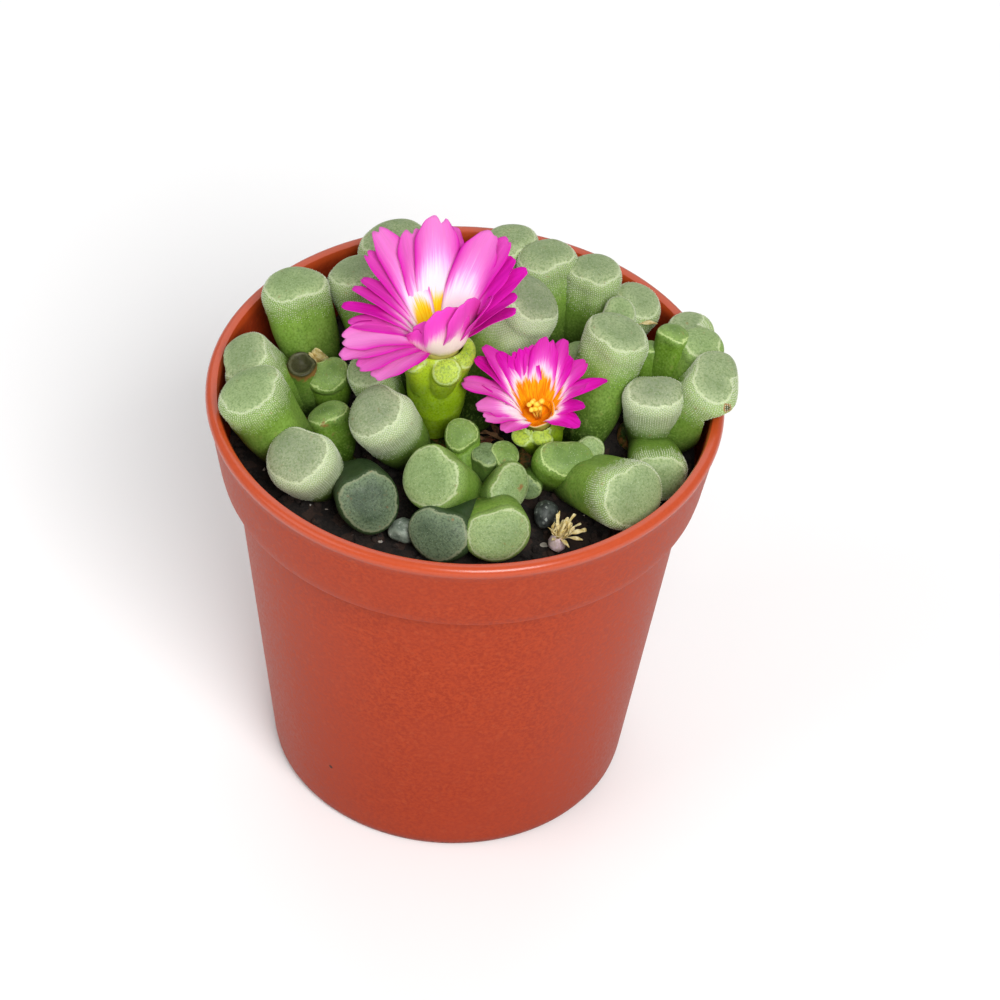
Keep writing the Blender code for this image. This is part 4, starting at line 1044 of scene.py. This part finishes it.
def blade_skin(root, tip, azimuth, width, curl, seed, thick, values, levels=30, half_count=15):
    """A thin petal: folded, channelled and wavy, with a rounded, pointed or notched tip."""
    draw = np.random.default_rng(int(round(seed * 1000)))
    outward = way(azimuth)
    side = np.array((-math.sin(azimuth), math.cos(azimuth), 0.0))
    length = np.linalg.norm(tip - root)
    slope = (tip[2] - root[2]) / length
    lean = 0.35 + 1.3 * max(curl, 0.0) + 1.4 * max(0.5 - slope, 0.0)
    middle = root + 0.4 * length * unit(lean * outward + UP)
    notch = max(draw.uniform(-0.05, 0.07), 0.0)
    notch_at = draw.uniform(-0.4, 0.4)
    point = draw.uniform(0.10, 0.30) * width / length
    notch = notch * 2.2 * width / length
    twist = draw.uniform(-0.22, 0.22)
    ripple = draw.uniform(0.0, 6.28)
    share = np.linspace(0.0, 1.0, levels)[:, None]
    span = np.linspace(1.0, -1.0, half_count)[None, :]
    size = 0.56 + 0.44 * np.sin(0.5 * math.pi * np.minimum(share / 0.62, 1.0)) ** 1.2
    size = size * (1.0 - 0.30 * np.maximum((share - 0.84) / 0.16, 0.0) ** 2.0)
    trim = 1.0 - share * (point * np.abs(span) ** 3.0
                          + notch * np.exp(-((span - notch_at) / 0.18) ** 2)
                          + 0.01 * width / length * np.cos(8.0 * span + ripple))
    reach = (share * trim)[..., None]
    centre = (1 - reach) ** 2 * root + 2 * reach * (1 - reach) * middle + reach ** 2 * tip
    forward = unit((1 - reach) * (middle - root) + reach * (tip - middle))
    normal = np.cross(forward, side)
    half = 0.5 * width * size
    lift = half * (0.26 * np.abs(span) ** 1.4 - 0.10) * (1.0 - 0.5 * share)
    lift = lift + 0.05 * np.exp(-(span / 0.16) ** 2) * half + 0.018 * np.cos(17.0 * span + ripple)
    lift = lift + 0.16 * np.sin(9.0 * share + ripple) * span * np.abs(span) * share
    lift = lift + twist * half * span * share
    bow = curl * 3.6 * np.maximum(reach - 0.5, 0.0) ** 2
    base = centre + (half * span)[..., None] * side + lift[..., None] * normal - bow * outward
    edge = (thick * (1.0 - 0.6 * np.abs(span) ** 3) * (1.0 - 0.45 * share ** 3))[..., None]
    points = np.vstack([(base + sign * edge * normal).reshape(-1, 3) for sign in (1.0, -1.0)])
    faces = []
    corners = []
    lower = levels * half_count
    spans = span[0]

    def add_face(indices):
        """Add a face with the UV corners that its points have on the blade."""
        faces.append(indices)
        for index in indices:
            row, column = divmod(index % lower, half_count)
            corners.append((spans[column], row / (levels - 1)))

    for row in range(levels - 1):
        for column in range(half_count - 1):
            first = row * half_count + column
            quad = (first, first + half_count, first + half_count + 1, first + 1)
            add_face(quad)
            add_face(tuple(lower + index for index in reversed(quad)))
        first = row * half_count
        add_face((first + half_count, first, lower + first, lower + first + half_count))
        last = first + half_count - 1
        add_face((last, last + half_count, lower + last + half_count, lower + last))
    for column in range(half_count - 1):
        add_face((column, column + 1, lower + column + 1, lower + column))
        last = (levels - 1) * half_count + column
        add_face((last + 1, last, lower + last, lower + last + 1))
    return {"points": points, "faces": faces, "corners": corners,
            "values": {"back": np.repeat((0.0, 1.0), lower), "seed": (seed * 0.618) % 1.0,
                       **values}}


def turned_rings(profile, start, end, sides):
    """Rings of a turned shape round the line from start to end, profile from bottom to top."""
    direction = unit(end - start)
    first = unit(np.cross(direction, np.array((0.0, 1.0, 0.0))))
    second = np.cross(direction, first)
    angles = circle(sides)
    rings = []
    for radius, height in profile:
        rings.append(start + height * direction + radius * (
            np.cos(angles)[:, None] * first + np.sin(angles)[:, None] * second))
    return np.array(rings)


def petals_piece(flower, look):
    """All petals of a flower with the tube that they grow from."""
    foot, throat, direction, length = flower_axis(flower)
    aim = np.array(flower["aim"]) + SOIL_TOP * UP
    radius = flower["tube_radius"]
    floor = (1.0 - TUBE_SHARE) * length
    skins = []
    for number, (azimuth, elevation, reach, width, curl, *shades) in enumerate(flower["petals"]):
        tip = aim + reach * way(math.radians(azimuth), math.radians(elevation))
        angle = math.atan2(tip[1] - throat[1], tip[0] - throat[0])
        inset = 0.35 + 0.25 * (number % 2)
        root = throat + (radius + 0.5 - inset) * way(angle)
        root[2] -= 0.2
        skins.append(blade_skin(root, tip, angle, width, curl, 1.0 + number * 0.37, 0.10,
                                dict(zip(("eye", "white", "pale"), shades))))
    profile = (around(radius, floor, (-0.4, 0.0), (-0.15, 0.3))
               + around(radius, length, (0.0, -1.5), (0.1, -1.0), (0.2, -0.6), (0.35, -0.2),
                        (0.4, 0.0), (0.3, 0.1), (0.1, -0.1), (0.1, -0.5), (-0.3, -1.2))
               + around(radius, floor, (-1.0, 1.1)))
    outside = 7
    rings = roughened(turned_rings(profile, foot, throat, FLOWER_SIDES), 0.15, 0.9, 3.0)
    along = np.clip(0.10 * (np.array(profile)[:, 1] - length), -0.2, 0.03)
    outer = np.append(np.repeat(np.arange(len(profile)) < outside, FLOWER_SIDES), (True, False))
    skins.append(tube_skin(
        rings, foot + floor * direction, foot + (floor + 1.0) * direction,
        0.6 * np.sin(np.linspace(0.0, 14.0 * math.pi, FLOWER_SIDES + 1)),
        np.repeat(along[:, None], FLOWER_SIDES + 1, axis=1),
        back=outer, seed=0.5, eye=np.where(outer, -0.5, 0.5), white=0.6, pale=0.0))
    settle(make_piece("petals_" + flower["name"], skins, look, "blade"), "petal_magenta",
           flower["name"] + "_petals")


def calyx_piece(flower, look):
    """The fleshy cup under a flower, grown together with its windowed sepals."""
    foot, throat, direction, length = flower_axis(flower)
    radius = flower["calyx_radius"]
    tube = flower["tube_radius"]
    floor = (1.0 - TUBE_SHARE) * length - GAP
    profile = [(size * radius, height * length) for size, height in CALYX_PROFILE]
    profile += [(tube + 0.5, 0.94 * length), (tube + 0.35, floor)]
    rings = roughened(turned_rings(profile, foot, throat, FLOWER_SIDES), 0.22, 0.35, 4.0)
    skins = [tube_skin(rings, foot, foot + floor * direction)]

    def clear_of_tube(places):
        """Keep a sepal out of the cup that the petals' tube stands in."""
        inside = (places - foot) @ direction < floor - 1.5
        pushed = clear_of_axis(places, foot, direction, tube + 0.5)
        return np.where(inside[..., None], places, pushed)

    tips = []
    for number, (root, tip, width, depth, window) in enumerate(flower["sepals"]):
        base = np.array(root) + SOIL_TOP * UP
        end = np.array(tip) + SOIL_TOP * UP
        skin, rings, *_ = leaf_skin(
            base - 0.5 * (end - base) - UP, base, end,
            unit((end[0] - foot[0], end[1] - foot[1], 0.0)), width, depth, unit(window),
            LOOKS["fresh"], (0.0, 0.0), clear_of_tube, 3.0 + number, SLIM_SIDES)
        skins.append(skin)
        tips.append((rings[-1].mean(axis=0), 0.40 * width))
    piece = make_piece("calyx_" + flower["name"], skins, look)
    merge = piece.modifiers.new("merge", "REMESH")
    merge.mode = "VOXEL"
    merge.voxel_size = CALYX_VOXEL
    soften = piece.modifiers.new("soften", "SMOOTH")
    soften.factor = 0.5
    soften.iterations = 5
    made_plain(piece)
    piece.data.shade_smooth()
    places = read_places(piece.data) / MM
    rim = np.max([size - np.linalg.norm(places - tip, axis=1) for tip, size in tips], axis=0)
    rise = np.clip((places - foot) @ direction / (1.25 * length), 0.0, 1.0)
    for key, value in (("rim", rim), ("rise", rise), ("tone", (0.0, 1.0, 0.0, 1.0)),
                       ("stain", 0.0)):
        keep_values(piece.data, key, for_each(value, len(places)))
    settle(piece, "calyx_green", flower["name"] + "_calyx")


def stamens_piece(flower, count, height, look):
    """A tuft of filaments with rounded anthers."""
    foot, _, direction, length = flower_axis(flower)
    floor = (1.0 - TUBE_SHARE) * length + 1.3
    draw = np.random.default_rng(7)
    sides = 10
    skins = []
    for number in range(count):
        offset = 0.28 * math.sqrt((number + 0.5) / count) * way(SPIRAL_STEP * number)
        top = height * draw.uniform(0.8, 1.05)
        start = foot + direction * floor + offset
        end = start + direction * top + 2.2 * offset
        knob = draw.uniform(0.24, 0.34)
        profile = ((0.09, 0.0), (0.09, top * 0.5), (0.08, top * 0.82), (knob * 0.7, top * 0.86),
                   (knob, top * 0.92), (knob * 0.8, top * 0.98), (0.08, top * 1.01))
        rings = turned_rings(profile, start, end, sides)
        rise = np.repeat([place / top for _, place in profile], sides)
        skins.append(tube_skin(rings, start, rings[-1].mean(axis=0),
                               rise=np.append(rise, (0.0, 1.0))))
    settle(make_piece("stamens_" + flower["name"], skins, look), "stamen_yellow",
           flower["name"] + "_stamens")


# ---- Pot and soil ----


def turned_piece(name, profile, sides, look):
    """A closed solid turned about Z, its profile from the bottom middle to the inside middle."""
    rings = turned_rings(profile[1:-1], np.zeros(3), UP, sides)
    return make_piece(name, [tube_skin(rings, profile[0][1] * UP, profile[-1][1] * UP)], look)


def pot_piece(look):
    """The pot, with a rounded lip, a soft step under its band and its drain holes."""
    band_foot = POT_HEIGHT - BAND_HEIGHT
    lip_inner = RIM_RADIUS - LIP_WIDTH
    profile = [
        (0.0, 0.0), *around(CENTRE_PAD_RADIUS, 0.0, (-0.2, 0.0), (0.0, 0.05), (0.4, RECESS_HEIGHT)),
        *around(FOOT_RING[1], 0.0, (-0.4, RECESS_HEIGHT), (-0.1, 0.06), (0.1, 0.0)),
        *around(FOOT_RING[0], 0.0, (-0.1, 0.0), (0.25, 0.18)),
        *around(BODY_FOOT_RADIUS, 0.0, (-0.12, 0.75), (0.02, 1.4)),
        *wall(BODY_FOOT_RADIUS, 1.2, BODY_TOP_RADIUS - BODY_FOOT_RADIUS, band_foot - 1.4,
              0.1, 0.95, 12),
        *around(BODY_TOP_RADIUS, band_foot, (0.0, -0.45), (0.12, -0.12), (0.4, 0.0)),
        *around(BAND_FOOT_RADIUS, band_foot, (-0.4, 0.0), (-0.1, 0.08), (0.0, 0.32)),
        *wall(BAND_FOOT_RADIUS, band_foot, RIM_RADIUS - 0.3 - BAND_FOOT_RADIUS, BAND_HEIGHT - 1.5,
              0.15, 0.9, 6),
        *around(RIM_RADIUS, POT_HEIGHT, (-0.30, -1.45), (-0.12, -1.15), (0.0, -0.8), (-0.02, -0.5),
                (-0.2, -0.2), (-0.5, -0.03)),
        *around(lip_inner, POT_HEIGHT, (0.7, 0.0), (0.3, -0.12), (0.06, -0.5), (0.0, -1.0)),
        *wall(lip_inner, POT_HEIGHT - 0.9, BAND_FOOT_RADIUS - WALL - lip_inner,
              band_foot + 0.4 - POT_HEIGHT + 0.9, 0.15, 1.0, 6),
        (BODY_TOP_RADIUS - WALL, band_foot - 0.5),
        *around(BODY_FOOT_RADIUS - WALL, FLOOR_TOP, (0.1, 0.9), (-0.6, 0.0)), (0.0, FLOOR_TOP)]
    piece = turned_piece("nursery_pot", profile, 168, look)
    drill_length = 6.0
    drills = []
    for number in range(DRAIN_HOLES):
        low = DRAIN_CIRCLE * way(math.radians(45.0 + 360.0 * number / DRAIN_HOLES)) - 2.0 * UP
        high = low + drill_length * UP
        rings = turned_rings(((DRAIN_RADIUS, 0.0), (DRAIN_RADIUS, drill_length)), low, high, 32)
        drills.append(make_piece(f"drill_{number}", [tube_skin(rings, low, high)], look))
        hole = piece.modifiers.new("hole", "BOOLEAN")
        hole.operation = "DIFFERENCE"
        hole.solver = "EXACT"
        hole.object = drills[-1]
    made_plain(piece)
    for drill in drills:
        bpy.data.objects.remove(drill)
    piece.data.set_sharp_from_angle(angle=math.radians(40))
    settle(piece, "pot_plastic", "pot")


def soil_piece(look):
    """The soil with a rough crumbly top."""
    band_foot = POT_HEIGHT - BAND_HEIGHT
    edge = BAND_FOOT_RADIUS - WALL - 0.12
    bottom = FLOOR_TOP + GAP
    profile = [(0.0, bottom), (BODY_FOOT_RADIUS - WALL - 1.2, bottom),
               (BODY_FOOT_RADIUS - WALL - GAP, bottom + 0.9),
               (BODY_TOP_RADIUS - WALL - GAP - 0.05, band_foot - 0.6),
               (edge - 0.1, band_foot + 0.8),
               *((radius, SOIL_TOP) for radius in np.linspace(edge, 0.4, 70)), (0.0, SOIL_TOP)]
    piece = turned_piece("potting_soil", profile, 200, look)
    places = read_places(piece.data)
    for place in places:
        if place[2] > MM * (SOIL_TOP - 0.1):
            spot = Vector(place) / MM
            lift = 0.20 * noise.noise(spot * 0.22) + 0.18 * noise.noise(spot * 0.9)
            lift += 0.12 * noise.noise(spot * 2.2)
            place[2] += MM * (lift - 0.05)
    piece.data.vertices.foreach_set("co", places.ravel())
    settle(piece, "soil", "soil")


def crumbs_piece(name, count, seed, size_range, look):
    """Crumbs scattered over the soil."""
    draw = np.random.default_rng(seed)
    places, facings, sizes = [], [], []
    for _ in range(count):
        radius = CRUMB_REACH * math.sqrt(draw.uniform())
        angle = draw.uniform(0.0, 2.0 * math.pi)
        sizes.append(draw.uniform(*size_range))
        places.append(radius * way(angle) + (SOIL_TOP + 0.10 * sizes[-1]) * UP)
        facings.append(draw.normal(size=3))
    settle(scattered(name, places, unit(facings), sizes, look, CRUMB_TREE,
                     {"Radius": 0.4 * MM, "Roughness": 1.1, "Grain": 1700.0}), "soil")


def pebble_piece(name, centre, size, seed, look, slot, node):
    """A small worn stone."""
    sides = 40
    angles = circle(sides)
    rings = np.array([np.stack((math.cos(turn) * np.cos(angles), math.cos(turn) * np.sin(angles),
                                np.full(sides, math.sin(turn))), axis=-1)
                      for turn in np.linspace(-math.pi / 2, math.pi / 2, 26)[1:-1]])
    skin = tube_skin(rings, -UP, UP)
    bumps = [1.0 + 0.16 * noise.noise(Vector(point) * 1.3 + Vector((seed, 0.0, 0.0)))
             + 0.03 * noise.noise(Vector(point) * 4.0) for point in skin["points"]]
    points = skin["points"] * np.array(size) * 0.5 * np.array(bumps)[:, None]
    skin["points"] = points + np.array((*centre, SOIL_TOP + 0.55 - points[:, 2].min()))
    settle(make_piece(name, [skin], look), slot, node)


def withered_piece(look):
    """The spent flower on the soil: a pale base and a tuft of curled dry strips."""
    base = np.array((10.2, -15.6, SOIL_TOP + 0.55))
    profile = ((0.45, 0.05), (0.75, 0.2), (0.95, 0.7), (0.85, 1.2), (0.65, 1.7), (0.3, 1.8))
    rings = turned_rings(profile, base, base + np.array((0.9, 0.9, 2.2)), 24)
    rings = roughened(rings, 0.15, 1.2, 2.0)
    skins = [tube_skin(rings, base, rings[-1].mean(axis=0), back=0.0, seed=0.0, dry=0.0)]
    draw = np.random.default_rng(12)
    strips = 30
    for number in range(strips):
        angle = SPIRAL_STEP * number
        spread = math.sqrt((number + 0.5) / strips)
        root = base + (0.5 * spread * way(angle) + (0.55, 0.6, 1.25))
        rise = math.radians(draw.uniform(20.0, 80.0) * (1.2 - 0.5 * spread))
        reach = draw.uniform(1.4, 2.7)
        tip = root + reach * (way(angle, rise) * (spread, spread, 1.0) + (0.25, 0.1, 0.0))
        tip[2] = max(tip[2], SOIL_TOP + 0.5)
        skins.append(blade_skin(root, tip, angle, draw.uniform(0.28, 0.5), draw.uniform(-0.5, 0.5),
                                2.0 + number * 0.3, 0.05, {"dry": 1.0}, 16, 7))
    settle(make_piece("spent_flower", skins, look, "blade"), "dried_flower", "withered_flower")


def litter_piece(look):
    """Brown scraps of old leaves and petals that lie on the soil and against the leaves."""
    draw = np.random.default_rng(31)
    scraps = list(SCRAPS)
    for number in range(13):
        spot = np.array((draw.uniform(1.6, 4.4), draw.uniform(-0.4, 2.4), 0.15 + 0.07 * number))
        angle = draw.uniform(0.0, 360.0)
        reach = draw.uniform(1.1, 2.4)
        tip = spot + reach * (way(math.radians(angle)) + draw.uniform(-0.05, 0.3) * UP)
        scraps.append((spot, tip, angle, draw.uniform(0.3, 0.75), draw.uniform(1.7, 2.0)))
    skins = [blade_skin(np.array(root) + SOIL_TOP * UP, np.array(tip) + SOIL_TOP * UP,
                        math.radians(angle), width, draw.uniform(-0.6, 0.6), 5.0 + number * 0.3,
                        0.06, {"dry": dry}, 16, 7)
             for number, (root, tip, angle, width, dry) in enumerate(scraps)]
    settle(make_piece("dry_scraps", skins, look, "blade"), "dried_flower")


# ---- Stage ----


def make_camera():
    """The camera at the photograph's angle: 43 degrees above level, turned a little."""
    elevation = math.radians(42.88)
    roll = math.radians(3.5)
    distance = 0.6143
    target = Vector((4.33, -2.89, 36.89)) * MM
    back = Vector((0.0, -math.cos(elevation), math.sin(elevation)))
    right = Vector((1.0, 0.0, 0.0))
    up = back.cross(right)
    turned_right = math.cos(roll) * right + math.sin(roll) * up
    turned_up = -math.sin(roll) * right + math.cos(roll) * up
    data = bpy.data.cameras.new("camera")
    data.sensor_width = 36.0
    data.lens = 206.9
    data.clip_start = 0.05
    data.clip_end = 20.0
    camera = shown("camera", data)
    axes = Matrix((turned_right, turned_up, back)).transposed()
    camera.matrix_world = Matrix.Translation(target + distance * back) @ axes.to_4x4()
    bpy.context.scene.camera = camera


def make_light(name, place, height, size, power):
    """A soft square light that looks at a height over the middle."""
    data = bpy.data.lights.new(name, "AREA")
    data.shape = "SQUARE"
    data.size = size
    data.energy = power
    light = shown(name, data)
    light.location = place
    sight = Vector((0.0, 0.0, height)) - Vector(place)
    light.rotation_euler = sight.to_track_quat("-Z", "Y").to_euler()


def make_stage():
    """A plain pale floor, a pale surround and soft studio lights."""
    mesh = bpy.data.meshes.new("floor")
    mesh.from_pydata([(-3, -3, 0), (3, -3, 0), (3, 3, 0), (-3, 3, 0)], [], [(0, 1, 2, 3)])
    paint = bpy.data.materials.new("floor_paint")
    paint.use_nodes = True
    shader = paint.node_tree.nodes["Principled BSDF"].inputs
    shader["Base Color"].default_value = (0.92, 0.92, 0.92, 1.0)
    shader["Roughness"].default_value = 0.9
    mesh.materials.append(paint)
    shown("floor", mesh)
    world = bpy.data.worlds.new("surround")
    world.use_nodes = True
    background = world.node_tree.nodes["Background"].inputs
    background["Color"].default_value = (1.0, 1.0, 1.0, 1.0)
    background["Strength"].default_value = 0.42
    bpy.context.scene.world = world
    make_light("key", (0.22, -0.60, 0.66), 0.03, 0.4, 7.0)
    make_light("fill", (-0.55, -0.25, 0.5), 0.03, 0.5, 1.3)
    make_light("back", (0.0, 0.5, 0.55), 0.04, 0.6, 1.2)
    bpy.context.scene.view_settings.view_transform = "Standard"


make_camera()
make_stage()

leaf_skin_look = leaf_material("leaf_skin", (54, 84, 12), (104, 140, 40), (132, 160, 84),
                               (92, 122, 54))
calyx_look = leaf_material("calyx_skin", (140, 174, 14), (198, 220, 48), (180, 202, 72),
                           (150, 178, 44))
papilla_look = frost_material()
for rosette in ROSETTES:
    rosette_pieces(rosette, leaf_skin_look, papilla_look)
petals_piece(BIG_FLOWER, petal_material(
    "petal_yellow_foot", ((250, 196, 10), (253, 224, 40)), (198, 14, 158), (238, 122, 212),
    (214, 206, 92)))
petals_piece(SMALL_FLOWER, petal_material(
    "petal_orange_eye", ((226, 118, 2), (246, 166, 10)), (196, 2, 146), (226, 74, 194),
    (196, 184, 60)))
stamen_look = plain_grained("pollen_yellow", (250, 190, 30), (254, 222, 90), 0.6)
for flower_kind, stamen_height in ((BIG_FLOWER, 3.2), (SMALL_FLOWER, 2.9)):
    calyx_piece(flower_kind, calyx_look)
    stamens_piece(flower_kind, 9, stamen_height, stamen_look)
pot_piece(pot_material())
soil_piece(earth_material("earth", 0.02))
crumbs_piece("soil_crumbs", 1500, 5, (0.35, 1.6), earth_material("earth_crumbs", 0.05))
crumbs_piece("soil_perlite", 60, 9, (0.25, 0.7),
             plain_grained("perlite", (214, 208, 196), (168, 160, 146), 0.9))
pebble_piece("dark_stone_piece", (9.2, -11.6), (2.6, 3.2, 2.6), 1.0,
             stone_material("dark_stone_skin", (34, 38, 36), (78, 84, 80)), "dark_stone",
             "dark_pebble")
pebble_piece("grey_stone_piece", (-5.5, -15.2), (3.2, 3.0, 2.2), 5.0,
             stone_material("grey_stone_skin", (92, 104, 92), (134, 146, 130)), "grey_stone",
             "grey_pebble")
dry_look = dry_material()
withered_piece(dry_look)
litter_piece(dry_look)
